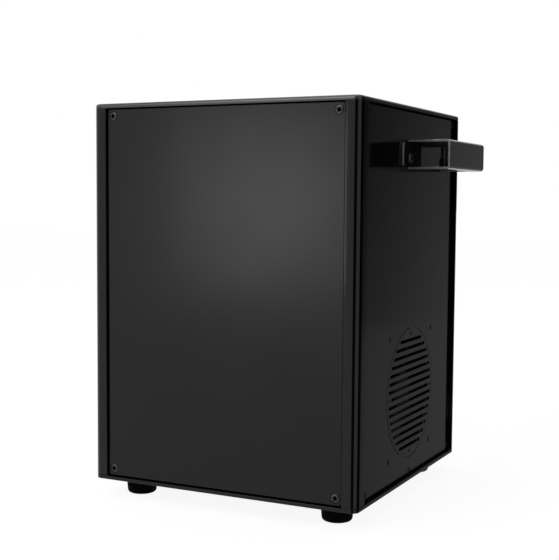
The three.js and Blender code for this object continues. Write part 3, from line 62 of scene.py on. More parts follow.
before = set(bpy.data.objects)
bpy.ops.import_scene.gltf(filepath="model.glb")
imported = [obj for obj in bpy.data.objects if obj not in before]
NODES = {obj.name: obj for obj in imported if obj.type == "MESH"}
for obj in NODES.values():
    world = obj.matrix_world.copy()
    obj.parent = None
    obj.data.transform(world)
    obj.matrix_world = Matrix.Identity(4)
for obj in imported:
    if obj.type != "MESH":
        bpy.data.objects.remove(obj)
CAD_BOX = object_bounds()

MM = 0.001
FRONT, BACK, RIGHT, LEFT = Vector((0, -1, 0)), Vector((0, 1, 0)), Vector((1, 0, 0)), Vector((-1, 0, 0))
UP = Vector((0, 0, 1))
SIDES = (("right", RIGHT), ("left", LEFT))
TURN = 2 * math.pi
# The solids' edges are smooth below this angle, new pieces' edges are sharp above the next, and faces that
# differ by less than the last are one.
SMOOTH_BELOW = math.radians(50)
SHARP_ABOVE = math.radians(35)
FLAT_BELOW = math.radians(1)
# Too small to see: how near points are merged, how far a mark is sunk in, and how far edges overlap.
WELD, HAIR, LAP = 0.001 * MM, 0.01 * MM, 0.02 * MM
# A screw's head reaches this far into its wall; the faces of its recess and countersink have the second
# material, painted shade.
SCREW_SEAT = -0.3 * MM
RECESS_SHADE = 1
# Where most values of a noise lie.
NOISE_START, NOISE_END = 0.3, 0.7


def length(name, description, millimetres):
    """A size that a user may change, kept in metres."""
    return FloatProperty(name=name, description=description, default=millimetres * MM, min=0.0,
                         unit="LENGTH")


def colour(name, description, *rgb):
    """A colour that a user may change, as linear red, green and blue."""
    return FloatVectorProperty(name=name, description=description, default=rgb, min=0.0, max=1.0,
                               size=3, subtype="COLOR")


def share(name, description, value):
    """A share from 0 to 1 that a user may change."""
    return FloatProperty(name=name, description=description, default=value, min=0.0, max=1.0,
                         subtype="FACTOR")


def power(name, description, watts):
    """A lamp's power that a user may change."""
    return FloatProperty(name=name, description=description, default=watts, min=0.0, unit="POWER")


class SparkMachineColours(bpy.types.PropertyGroup):
    """Colours of the finishes."""

    paint: colour("Paint", "Black paint of the casing", 0.0012, 0.0012, 0.0013)
    handle: colour("Handle", "Coat of the handles", 0.012, 0.012, 0.0125)
    # Rubbed grey, and also a painted highlight on the handles' cut edges.
    worn_and_highlight: colour("Worn edge", "Rubbed edges of the handles", 0.14, 0.14, 0.145)
    # Also painted shade: the gaskets in the panels' gaps and the dull inside of the handles.
    rubber: colour("Rubber", "Feet, gaskets and the handles' dull pads", 0.001, 0.001, 0.0011)
    plastic: colour("Black plastic", "Sockets, switch, buttons and fan", 0.011, 0.011, 0.0116)
    screws: colour("Screws", "Black zinc on the screws", 0.042, 0.042, 0.044)
    # Painted shade in the screws' recesses and countersinks.
    recess: colour("Screw recess", "Recesses and countersinks of the screws", 0.001, 0.001, 0.001)
    steel: colour("Steel", "Outlet, chamber tube, feed screw and pins", 0.50, 0.49, 0.475)
    zinc: colour("Zinc", "Plated brackets, rings and hopper", 0.56, 0.575, 0.59)
    aluminium: colour("Aluminium", "Feeder housing, heat sink and supply", 0.63, 0.64, 0.65)
    brass: colour("Brass", "Gears and contacts", 0.66, 0.46, 0.17)
    copper: colour("Copper", "Induction coil", 0.70, 0.30, 0.15)
    ceramic: colour("Ceramic fibre", "Insulation round the chamber", 0.66, 0.63, 0.56)
    white_plastic: colour("White plastic", "Blower impeller", 0.62, 0.62, 0.58)
    board: colour("Circuit board", "Solder mask", 0.012, 0.085, 0.03)
    glass: colour("Display glass", "Tinted pane of the display", 0.006, 0.004, 0.005)
    segments: colour("Display segments", "Unlit segments of the display", 0.045, 0.007, 0.006)
    marks: colour("Marks", "Printed marks on switch and buttons", 0.62, 0.62, 0.60)


class SparkMachineSizes(bpy.types.PropertyGroup):
    """Sizes of the pieces that are added to the solid model."""

    edge_width: length("Edge width", "Width of the softened edges of sheet and mouldings", 0.35)
    panel_screw_radius: length("Panel screw radius", "Head of the countersunk panel screws", 3.6)
    panel_screw_rise: length("Panel screw rise", "How far a panel screw's head stands proud", 0.45)
    front_screw_inset: length("Front screw inset", "Screws' distance from the front panel's sides", 5.2)
    front_screw_drop: length("Front screw drop", "Screws' distance from the panel's top and bottom", 6.0)
    cover_screw_inset: length("Cover screw inset", "Screws' distance from the cover's edges", 15)
    grille_screw_radius: length("Grille screw radius", "Head of the screws round and on the grilles", 2.5)
    grille_plate_circle: length("Grille screw circle", "Circle of the four screws on a grille", 52.8)
    fan_hole_spacing: length("Fan hole spacing", "Square on which the fan's screws stand", 105)
    handle_screw_radius: length("Handle screw radius", "Head of the handles' button-head screws", 4.4)
    handle_screw_rise: length("Handle screw rise", "Height of the handles' button-head screws", 2.6)
    handle_sheet: length("Handle sheet", "Thickness of the handles' sheet", 2)
    handle_bend: length("Handle bend", "Outer radius of the handles' bends", 3.2)
    handle_arm: length("Handle arm", "Length of the handles' closed ends", 14)
    handle_grip: length("Handle grip", "Depth of the lower flange outside the finger gap", 9)
    handle_cut: length("Handle cut", "Corner radius of the finger gap", 12)
    handle_tab: length("Handle tab", "How far the screwed pads stand out of the handles' ends", 15)
    handle_pad: length("Handle pad", "Length of the screwed pads in front", 44)
    handle_rear_pad: length("Handle rear pad", "Length of the screwed pads at the rear", 19)
    handle_screw_place: length("Handle screw place", "Screws' distance from the handles' ends", 14)
    handle_screw_drop: length("Handle screw drop", "How far the screws lie below the middle", 3.4)
    foot_edge: length("Foot edge", "Radius of the feet's lower edge", 3)
    gasket_depth: length("Gasket depth", "How far a panel's gasket lies behind the panel's face", 0.5)
    gasket_width: length("Gasket width", "Width of the foam in the gap round a panel", 0.9)
    outlet_mouth: length("Outlet mouth", "Radius at which the outlet's flange falls into its mouth", 25)
    outlet_bore: length("Outlet bore", "Radius of the outlet's narrowest place", 19)
    outlet_edge: length("Outlet edge", "Rounding of the outlet's flange", 2.5)
    outlet_screw_circle: length("Outlet screw circle", "Circle of the outlet's four screws", 31.6)
    bezel_width: length("Display frame", "Width of the frame over the display's pane", 3)
    digit_spacing: length("Digit spacing", "Distance between the display's digits", 11)
    segment_length: length("Segment length", "Length of a segment of a digit", 4.3)
    segment_width: length("Segment width", "Width of a segment of a digit", 0.95)
    button_collar: length("Button collar", "Width of the collar round a menu button", 1.4)
    pin_radius: length("Signal pin radius", "Pins of the signal inlet", 1.2)
    pin_circle: length("Signal pin circle", "Circle of the signal pins", 3.9)
    pin_length: length("Signal pin length", "Pins of the signal inlet", 11)
    blade_length: length("Blade length", "Contact blades of the mains inlet", 13.2)
    button_dome: length("Button edge", "Rounding of the menu buttons", 0.9)
    mark_height: length("Mark height", "Thickness of a printed mark", 0.06)
    mark_drop: length("Mark drop", "How far the marks stand below the buttons", 9.5)


class SparkMachineStage(bpy.types.PropertyGroup):
    """Camera, floor and lights."""

    lens: FloatProperty(name="Lens", description="Focal length on a 36 mm sensor", default=71.296,
                        unit="CAMERA")
    camera_place: FloatVectorProperty(name="Camera place", description="Where the camera stands",
                                      default=(0.45077, -0.92036, 0.26424), size=3, unit="LENGTH")
    camera_turn: FloatVectorProperty(
        name="Camera turn", description="The camera's tilt, roll and turn", size=3, unit="ROTATION",
        default=(math.radians(85.7635), math.radians(-0.4148), math.radians(26.4388)))
    ambient: share("Ambient", "Level of the light from all round", 0.6)
    floor: colour("Floor", "Pale floor", 0.86, 0.86, 0.86)
    floor_glow: share("Floor glow", "How far the floor shows as plain white", 0.86)
    fill_power: power("Front light", "Power of the low softbox in front", 1.95)
    key_power: power("High light", "Power of the high softbox at the front left", 16.4)
    top_power: power("Top light", "Power of the softbox overhead", 8.0)


def sizes():
    return bpy.context.scene.spark_machine_sizes


def colours():
    return bpy.context.scene.spark_machine_colours


# Finishes

class Finish:
    """A procedural material: its shader, its node tree and the coordinates that its patterns read."""

    def __init__(self, name, tint, roughness, metallic=0.0, level=0.5):
        self.material = bpy.data.materials.new(name)
        self.material.use_nodes = True
        self.tree = self.material.node_tree
        self.shader = self.tree.nodes["Principled BSDF"]
        self.tint = tuple(tint)
        self.shader.inputs["Base Color"].default_value = (*self.tint, 1.0)
        self.shader.inputs["Roughness"].default_value = roughness
        self.shader.inputs["Metallic"].default_value = metallic
        self.shader.inputs["Specular IOR Level"].default_value = level
        self.place = self.tree.nodes.new("ShaderNodeTexCoord").outputs["Object"]

    def link(self, source, target):
        self.tree.links.new(source, target)

    def stretched(self, *factors):
        """Coordinates drawn out along some axes, for grain that runs one way."""
        mapping = self.tree.nodes.new("ShaderNodeMapping")
        mapping.inputs["Scale"].default_value = factors
        self.link(self.place, mapping.inputs["Vector"])
        return mapping.outputs["Vector"]

    def cloud(self, size, detail=3.0, place=None):
        """Noise whose patches are about that size, in metres."""
        texture = self.tree.nodes.new("ShaderNodeTexNoise")
        texture.inputs["Scale"].default_value = 1 / size
        texture.inputs["Detail"].default_value = detail
        self.link(place or self.place, texture.inputs["Vector"])
        return texture.outputs["Fac"]

    def cells(self, size, output="Distance", feature="F1", place=None):
        """Cells of about that size, in metres."""
        texture = self.tree.nodes.new("ShaderNodeTexVoronoi")
        texture.feature = feature
        texture.inputs["Scale"].default_value = 1 / size
        self.link(place or self.place, texture.inputs["Vector"])
        return texture.outputs[output]

    def between(self, source, low, high, start=NOISE_START, end=NOISE_END):
        """The source spread from low to high, over its values from start to end."""
        spread = self.tree.nodes.new("ShaderNodeMapRange")
        for socket, value in zip(("From Min", "From Max", "To Min", "To Max"), (start, end, low, high)):
            spread.inputs[socket].default_value = value
        self.link(source, spread.inputs["Value"])
        return spread.outputs["Result"]

    def shades(self, source, stops):
        """Colours along the source, as (place, colour) stops."""
        node = self.tree.nodes.new("ShaderNodeValToRGB")
        elements = node.color_ramp.elements
        while len(elements) < len(stops):
            elements.new(0.5)
        for element, (place, rgb) in zip(elements, stops):
            element.position = place
            element.color = (*rgb, 1.0)
        self.link(source, node.inputs["Fac"])
        return node.outputs["Color"]

    def lighter(self, factor):
        return tuple(min(1.0, channel * factor) for channel in self.tint)

    def vary_colour(self, source, low, high):
        """The tint darkened and lightened along the source."""
        stops = [(NOISE_START, self.lighter(low)), (NOISE_END, self.lighter(high))]
        self.link(self.shades(source, stops), self.shader.inputs["Base Color"])

    def vary_roughness(self, source, low, high):
        self.link(self.between(source, low, high), self.shader.inputs["Roughness"])

    def combine(self, first, second, operation="ADD"):
        node = self.tree.nodes.new("ShaderNodeMath")
        node.operation = operation
        self.link(first, node.inputs[0])
        if isinstance(second, (int, float)):
            node.inputs[1].default_value = second
        else:
            self.link(second, node.inputs[1])
        return node.outputs["Value"]

    def relief(self, height, depth, strength=1.0):
        """Bump of that depth in metres, over any bump set before."""
        bump = self.tree.nodes.new("ShaderNodeBump")
        bump.inputs["Distance"].default_value = depth
        bump.inputs["Strength"].default_value = strength
        self.link(height, bump.inputs["Height"])
        before = self.shader.inputs["Normal"]
        if before.links:
            self.link(before.links[0].from_socket, bump.inputs["Normal"])
        self.link(bump.outputs["Normal"], before)


def black_coat(name, tint_name, roughness, level, peel):
    """Black powder coat: orange peel, its depth in millimetres, over faint clouds of gloss."""
    made = Finish(name, getattr(colours(), tint_name), roughness, level=level)
    cloud_size, peel_size = 70 * MM, 0.9 * MM
    cloudy = made.cloud(cloud_size, detail=2.0)
    made.vary_colour(cloudy, 0.9, 1.12)
    made.vary_roughness(cloudy, 0.9 * roughness, 1.1 * roughness)
    made.relief(made.cloud(peel_size, detail=2.0), peel * MM, 0.4)
    return made.material


def patchy(name, tint_name, roughness, colour_patches, gloss_patches, grain=None, metallic=0.0,
           level=0.5):
    """A finish whose colour and gloss vary in patches.

    Each kind of patches is given by its size in millimetres, its detail and its low and high ends, and
    the grain by its size in millimetres, its detail, its depth in millimetres and its strength. A grain
    without a detail is made of cells.
    """
    made = Finish(name, getattr(colours(), tint_name), roughness, metallic, level)
    size, detail, low, high = colour_patches
    made.vary_colour(made.cloud(size * MM, detail), low, high)
    size, detail, low, high = gloss_patches
    made.vary_roughness(made.cloud(size * MM, detail), low, high)
    if grain:
        size, detail, depth, strength = grain
        pattern = made.cloud(size * MM, detail) if detail else made.cells(size * MM)
        made.relief(pattern, depth * MM, strength)
    return made.material


def foam():
    """Closed-cell foam of the gaskets behind the panels' edges, near black, which also paints the shade in
    those gaps.
    """
    made = Finish("gasket_foam", colours().rubber, 0.9, level=0.0)
    bubbles = made.cells(0.8 * MM)
    made.vary_colour(bubbles, 0.5, 1.5)
    made.relief(bubbles, 0.05 * MM, 0.8)
    return made.material


def heated_steel():
    """Turned steel, blued and browned by heat towards the axis of the chamber."""
    made = Finish("turned_steel", colours().steel, 0.3, metallic=1.0)
    hot_radius, cold_radius, unevenness = 17 * MM, 39 * MM, 1.5 * MM
    split = made.tree.nodes.new("ShaderNodeSeparateXYZ")
    made.link(made.place, split.inputs["Vector"])
    squares = [made.combine(split.outputs[axis], split.outputs[axis], "MULTIPLY") for axis in "XY"]
    distance = made.combine(made.combine(*squares), 0.5, "POWER")
    ragged = made.combine(distance, made.between(made.cloud(7 * MM), -unevenness, unevenness))
    heat = made.between(ragged, 0.0, 1.0, hot_radius, cold_radius)
    made.link(made.shades(heat, [
        (0.0, (0.05, 0.045, 0.05)), (0.16, (0.14, 0.13, 0.22)), (0.3, (0.25, 0.15, 0.13)),
        (0.45, (0.46, 0.36, 0.2)), (0.7, made.tint),
    ]), made.shader.inputs["Base Color"])
    made.vary_roughness(made.cloud(4 * MM, detail=4.0), 0.24, 0.4)
    made.relief(made.cloud(0.3 * MM), 0.008 * MM, 0.4)
    return made.material


def drawn_steel():
    """Drawn steel, whose lines run along X."""
    made = Finish("drawn_steel", colours().steel, 0.3, metallic=1.0)
    made.vary_colour(made.cloud(5 * MM, detail=4.0), 0.8, 1.08)
    made.vary_roughness(made.cloud(1.5 * MM, place=made.stretched(0.1, 1, 1)), 0.22, 0.38)
    made.relief(made.cloud(0.4 * MM, place=made.stretched(0.05, 1, 1)), 0.006 * MM, 0.4)
    return made.material


def plated_zinc():
    """Zinc plate, whose crystals differ a little in shade and gloss."""
    made = Finish("zinc_plate", colours().zinc, 0.38, metallic=0.95)
    spangle = made.cells(5 * MM, output="Color")
    made.vary_colour(spangle, 0.82, 1.08)
    made.vary_roughness(spangle, 0.3, 0.48)
    made.relief(made.cloud(0.8 * MM), 0.01 * MM, 0.3)
    return made.material


def aluminium():
    """Drawn aluminium, whose lines run along X."""
    made = Finish("drawn_aluminium", colours().aluminium, 0.36, metallic=0.95)
    lines = made.cloud(0.6 * MM, place=made.stretched(0.04, 1, 1))
    made.vary_colour(made.cloud(12 * MM), 0.88, 1.05)
    made.vary_roughness(lines, 0.28, 0.44)
    made.relief(lines, 0.008 * MM, 0.5)
    return made.material


def copper():
    """Copper tube that has darkened in patches beside the hot chamber."""
    made = Finish("warm_copper", colours().copper, 0.34, metallic=1.0)
    made.link(made.shades(made.cloud(9 * MM, detail=5.0), [
        (0.3, made.lighter(0.45)), (0.52, made.tint), (0.75, made.lighter(1.2)),
    ]), made.shader.inputs["Base Color"])
    made.vary_roughness(made.cloud(3 * MM), 0.26, 0.5)
    made.relief(made.cloud(0.6 * MM), 0.01 * MM, 0.4)
    return made.material


def ceramic_fibre():
    """Felt of ceramic fibre, whose strands run upwards."""
    made = Finish("ceramic_fibre", colours().ceramic, 0.95, level=0.2)
    fibres = made.cloud(0.7 * MM, detail=5.0, place=made.stretched(1, 1, 0.2))
    made.vary_colour(made.cloud(15 * MM, detail=5.0), 0.8, 1.1)
    made.relief(fibres, 0.25 * MM, 0.8)
    return made.material


def circuit_board():
    """Green solder mask over copper tracks, with pale pads in rows."""
    made = Finish("circuit_board", colours().board, 0.36, level=0.5)
    track_spacing, pad_spacing = 4.2 * MM, 2.54 * MM
    tracks = made.cells(track_spacing, feature="DISTANCE_TO_EDGE")
    raised = made.between(tracks, 1.0, 0.0, 0.03, 0.07)
    pads = made.between(made.cells(pad_spacing), 1.0, 0.0, 0.16, 0.22)
    made.link(made.shades(raised, [(0.0, made.tint), (1.0, made.lighter(1.9))]),
              made.shader.inputs["Base Color"])
    made.link(made.between(pads, 0.36, 0.22, 0.0, 1.0), made.shader.inputs["Roughness"])
    made.relief(raised, 0.04 * MM, 0.7)
    made.relief(pads, 0.05 * MM, 0.6)
    return made.material


# The patches, peel and grain below are in millimetres, as black_coat and patchy take them.
FINISHES = {
    # The side panels, posts, base, grilles and the lid's hinge bracket.
    "paint": partial(black_coat, "gloss_black_paint", "paint", 0.11, 0.255, 0.003),
    # The front and rear panels.
    "satin": partial(black_coat, "satin_black_paint", "paint", 0.21, 0.24, 0.008),
    # The cover and its lid, a little duller than the sides.
    "cover": partial(black_coat, "cover_black_paint", "paint", 0.3, 0.62, 0.008),
    # The handles, paler and rubbed smooth.
    "handle": partial(black_coat, "handle_black_paint", "handle", 0.2, 0.9, 0.004),
    # The handles' screwed pads and the inside of their C, dull and near black as painted shade.
    "pad": partial(black_coat, "dull_black_paint", "rubber", 0.6, 0.05, 0.01),
    # The handles' cut edges, where the coat is thin and hands have rubbed it grey, lightened also as a
    # painted highlight.
    "rubbed_edge_highlight": partial(patchy, "rubbed_paint", "worn_and_highlight", 0.3, (5, 5, 0.55, 1.35), (2, 3, 0.24, 0.38),
                           (0.9, 2, 0.008, 0.4), metallic=0.2),
    # The inside of a recess in a screw's head and of its countersink, painted near black as shade.
    "recess": partial(patchy, "screw_recess", "recess", 0.9, (1, 3, 0.6, 1.6), (0.5, 3, 0.8, 0.95),
                      level=0.0),
    # The gaskets' foam, which also paints the shade in the panels' gaps.
    "foam": foam,
    # The display's segments, which show dark red while it is off.
    "segments": partial(patchy, "display_segments", "segments", 0.2, (2, 3, 0.85, 1.15),
                        (1, 3, 0.16, 0.26), level=0.4),
    # The feet, dusty in patches.
    "rubber": partial(patchy, "moulded_rubber", "rubber", 0.8, (9, 5, 0.8, 1.5), (3, 3, 0.7, 0.85),
                      (0.5, 4, 0.03, 0.6), level=0.03),
    # Mouldings with the fine grain of their mould.
    "black_plastic": partial(patchy, "black_moulding", "plastic", 0.42, (14, 3, 0.85, 1.2),
                             (5, 3, 0.38, 0.5), (0.35, None, 0.02, 0.5), level=0.3),
    "white_plastic": partial(patchy, "white_moulding", "white_plastic", 0.5, (16, 3, 0.9, 1.04),
                             (6, 3, 0.42, 0.58), (0.4, None, 0.015, 0.4)),
    "steel": drawn_steel,
    "zinc": plated_zinc,
    "ceramic": ceramic_fibre,
    "copper": copper,
    "aluminium": aluminium,
    # Cut brass, a little tarnished in patches.
    "brass": partial(patchy, "cut_brass", "brass", 0.32, (4, 4, 0.75, 1.08), (1.2, 3, 0.24, 0.42),
                     (0.3, 3, 0.006, 0.4), metallic=1.0),
    "circuit": circuit_board,
    # Tinted glass, smeared a little by fingers.
    "pane": partial(patchy, "display_glass", "glass", 0.06, (20, 3, 0.7, 1.3), (8, 5, 0.04, 0.11)),
    # Blackened screws, rubbed a little where a driver has touched them.
    "screws": partial(patchy, "black_zinc", "screws", 0.28, (1.3, 4, 0.45, 1.5), (0.8, 3, 0.26, 0.46),
                      (0.25, 3, 0.01, 0.4), metallic=0.75),
    "hot_steel": heated_steel,
    # White ink, a little worn.
    "marks": partial(patchy, "printed_marks", "marks", 0.5, (0.8, 4, 0.82, 1.05), (1.5, 3, 0.42, 0.6)),
}
NODE_FINISHES = {
    "front_panel": "satin",
    "rear_panel": "satin",
    "top_cover": "cover",
    "filler_lid": "cover",
    "outlet_ring": "hot_steel",
    "nozzle_tube": "hot_steel",
}
made_finishes = {}


def finish(name):
    """The finish of that name, made when it is first wanted."""
    if name not in made_finishes:
        made_finishes[name] = FINISHES[name]()
    return made_finishes[name]


# Shapes

def mesh_object(name, bm, *materials):
    """An object at the origin from a bmesh, in the scene."""
    mesh = bpy.data.meshes.new(name)
    bm.to_mesh(mesh)
    bm.free()
    for material in materials:
        mesh.materials.append(material)
    made = bpy.data.objects.new(name, mesh)
    bpy.context.scene.collection.objects.link(made)
    return made


def mesh_piece(name, bm, *materials, body="casing", slot=None, replaces=()):
    """A finished piece from a closed bmesh, smooth but for its sharp edges, riding on a body."""
    bmesh.ops.recalc_face_normals(bm, faces=bm.faces)
    piece = mesh_object(name, bm, *materials)
    piece.data.shade_smooth()
    piece.data.set_sharp_from_angle(angle=SHARP_ABOVE)
    piece.modifiers.new("even_shading", "WEIGHTED_NORMAL").keep_sharp = True
    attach(piece, body)
    if replaces:
        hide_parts(*replaces)
    return piece


def turned(profile, steps=48, closed=False):
    """A shape turned about Z from (radius, height) points, whose ends lie on the axis or join."""
    bm = bmesh.new()
    points = [bm.verts.new((radius, 0, height)) for radius, height in profile]
    pairs = list(zip(points, points[1:])) + ([(points[-1], points[0])] if closed else [])
    edges = [bm.edges.new(pair) for pair in pairs]
    bmesh.ops.spin(bm, geom=points + edges, cent=(0, 0, 0), axis=UP, angle=TURN, steps=steps,
                   use_merge=True)
    bmesh.ops.remove_doubles(bm, verts=bm.verts, dist=WELD)
    bmesh.ops.recalc_face_normals(bm, faces=bm.faces)
    return bm


def rounded(radius, steps, start, end, x=0.0, y=0.0):
    """Points on an arc, with its ends."""
    turns = [math.radians(start + (end - start) * i / steps) for i in range(steps + 1)]
    return [(x + radius * math.cos(turn), y + radius * math.sin(turn)) for turn in turns]


def block(width, depth, height, centre=(0, 0, 0)):
    """A box of that size about a centre."""
    bm = bmesh.new()
    bmesh.ops.create_cube(bm, size=1.0)
    bmesh.ops.scale(bm, vec=(width, depth, height), verts=bm.verts)
    bmesh.ops.translate(bm, vec=centre, verts=bm.verts)
    return bm


def bevel(bm, edges, width, segments):
    """Bevels those edges."""
    bmesh.ops.bevel(bm, geom=edges, offset=width, offset_type="OFFSET", affect="EDGES", segments=segments,
                    profile=0.5, clamp_overlap=True, material=-1)
    return bm


def soften(bm, width, segments=2, sharper=SHARP_ABOVE):
    """Bevels the edges that turn by more than that angle."""
    return bevel(bm, [edge for edge in bm.edges if edge.calc_face_angle(0.0) > sharper], width, segments)


def runs_along(edge, axis, least):
    """Whether the edge's ends lie further apart than that along an axis."""
    first, second = edge.verts
    return abs(first.co[axis] - second.co[axis]) > least


def window_frame(width, height, margin, thickness):
    """A flat frame round a window of that size, as wide as the margin, lying on Z = 0."""
    bm = bmesh.new()
    bmesh.ops.create_grid(bm, x_segments=1, y_segments=1, size=0.5)
    bmesh.ops.scale(bm, vec=(width + 2 * margin, height + 2 * margin, 1), verts=bm.verts)
    inside = bm.faces[:]
    bmesh.ops.inset_region(bm, faces=inside, thickness=margin, use_boundary=True, use_even_offset=True)
    bmesh.ops.delete(bm, geom=inside, context="FACES_ONLY")
    made = bmesh.ops.extrude_face_region(bm, geom=bm.faces[:])["geom"]
    raised = [item for item in made if isinstance(item, bmesh.types.BMVert)]
    bmesh.ops.translate(bm, vec=(0, 0, thickness), verts=raised)
    bmesh.ops.recalc_face_normals(bm, faces=bm.faces)
    return bm


def disc(radius, height, steps=48):
    """A disc, or with few steps a flat shape of as many corners, standing on Z = 0."""
    return turned([(0, 0), (radius, 0), (radius, height), (0, height)], steps=steps)


def tube(inner, outer, height, steps=48):
    """A ring or a tube, standing on Z = 0."""
    return turned([(inner, 0), (outer, 0), (outer, height), (inner, height)], steps=steps, closed=True)


def facing(direction, place, turn=0.0):
    """The matrix that stands a shape on a wall, its own Z along the direction and turned about it."""
    stand = UP.rotation_difference(Vector(direction)).to_matrix().to_4x4()
    return Matrix.Translation(place) @ stand @ Matrix.Rotation(turn, 4, "Z")


def moved(x, y, z=0.0):
    """The matrix that shifts a shape by so much."""
    return Matrix.Translation((x, y, z))


def centre_of(node_name):
    low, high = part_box(node_name)
    return (low + high) / 2


def repeated_each(groups):
    """One bmesh with copies of several shapes, each at its own places, and the shapes freed."""
    bm = bmesh.new()
    for shape, places in groups:
        template = bpy.data.meshes.new("template")
        shape.to_mesh(template)
        shape.free()
        for place in places:
            before = len(bm.verts)
            bm.from_mesh(template)
            bm.verts.ensure_lookup_table()
            bmesh.ops.transform(bm, matrix=place, verts=bm.verts[before:])
        bpy.data.meshes.remove(template)
    return bm


def repeated(shape, places):
    """One bmesh with a copy of the shape at each place."""
    return repeated_each([(shape, places)])


def joined(*shapes):
    """One bmesh of several shapes, where they are."""
    return repeated_each((shape, [Matrix.Identity(4)]) for shape in shapes)


def looks_up(face):
    """Whether the face is on the upper side of a shape."""
    return face.normal.z > 0.3


def recess(bm, half_widths, is_inside, draft, depth):
    """Sinks the upper faces that lie inside a pattern, after cutting them along its sides."""
    for direction, distance in half_widths:
        for side in (-1, 1):
            everything = bm.verts[:] + bm.edges[:] + bm.faces[:]
            bmesh.ops.bisect_plane(bm, geom=everything, plane_co=direction * distance * side,
                                   plane_no=direction, dist=WELD)
    sunk = [face for face in bm.faces if looks_up(face) and is_inside(face.calc_center_median())]
    walls = bmesh.ops.inset_region(bm, faces=sunk, thickness=draft, depth=-depth, use_even_offset=True)
    # The sunk faces and their walls take the second material, painted near black as shade.
    for face in sunk + walls["faces"]:
        face.material_index = RECESS_SHADE
    return bm


def cross_screw(radius, rise):
    """A screw head with a bevelled rim, a shallow dome and a cross recess, in a flat countersink ring
    painted near black as shade.
    """
    countersink = 1.14 * radius
    dome_shares = ((0, 1), (0.3, 0.98), (0.62, 0.9), (0.84, 0.66), (0.95, 0.3))
    bm = turned([(across * radius, up * rise) for across, up in dome_shares]
                + [(radius, LAP), (countersink, LAP), (countersink, SCREW_SEAT), (0, SCREW_SEAT)], steps=28)
    # The flat ring round the head takes the second material, painted shade for the countersink.
    for face in bm.faces:
        if looks_up(face) and face.calc_center_median().xy.length > radius:
            face.material_index = RECESS_SHADE
    arm, slot = 0.58 * radius, 0.24 * radius
    draft, depth = 0.15 * slot, min(0.8 * rise, 0.3 * radius)

    def is_cross(point):
        across, along = sorted((abs(point.x), abs(point.y)))
        return across < slot and along < arm

    planes = [(RIGHT, slot), (RIGHT, arm), (BACK, slot), (BACK, arm)]
    return recess(bm, planes, is_cross, draft, depth)


def socket_screw(radius, rise):
    """A button head with a six-sided socket."""
    rim_share = 0.32
    dome = [(radius * math.sin(turn), rise * (rim_share + (1 - rim_share) * math.cos(turn)))
            for turn in (math.radians(angle) for angle in (24, 40, 56, 72, 84))]
    bm = turned([(0, rise), (0.22 * radius, rise), *dome, (radius, 0.25 * rise), (radius, SCREW_SEAT),
                 (0, SCREW_SEAT)], steps=36)
    flat, draft, depth = 0.36 * radius, 0.04 * radius, 0.4 * rise
    sides = [Vector((math.cos(turn), math.sin(turn), 0)) for turn in (0, math.pi / 3, 2 * math.pi / 3)]

    def is_hexagon(point):
        return all(abs(point.dot(side)) < flat for side in sides)

    return recess(bm, [(side, flat) for side in sides], is_hexagon, draft, depth)


def screw_turn(place):
    """How far a screw at that place happens to be turned, the same at each run."""
    scatter = 97.0
    return math.pi * noise.noise(Vector(place) * scatter)


def screws(name, shape, places, direction, material="screws", slot="paint"):
    """One piece of like screws, each turned its own way."""
    seats = [facing(direction, place, screw_turn(place)) for place in places]
    return mesh_piece(name, repeated(shape, seats), finish(material), finish("recess"), slot=slot)


# Operators

class MachineOperator:
    """What the operators below share."""

    bl_options = {"REGISTER", "UNDO"}

    def execute(self, context):
        self.build(context)
        return {"FINISHED"}


# Each softbox's name, its place and side in metres, and the property that holds its power.
SOFTBOXES = (
    ("front_softbox", (-0.83, -1.86, 0.26), 0.44, "fill_power"),
    ("high_softbox", (-0.58, -1.56, 1.45), 1.0, "key_power"),
    ("top_softbox", (-0.1, 0.1, 2.0), 1.2, "top_power"),
)
NO_GLOW = (0.0, 0.0, 0.0)
# Each dark paper's name, the directions between which it stands, in degrees from the front towards the
# right, its distance in metres, its glow, and for a card the height of its lower edge.
DARK_PAPERS = (
    ("dark_sweep_front", 6, 44, 2.2, NO_GLOW, None),
    ("dark_sweep_right", 97, 153, 1.6, NO_GLOW, None),
    ("dark_sweep_rear", 153, 178, 1.6, (0.085, 0.018, 0.10), None),
    ("dark_card_behind", 184, 212, 1.6, NO_GLOW, 0.24),
)


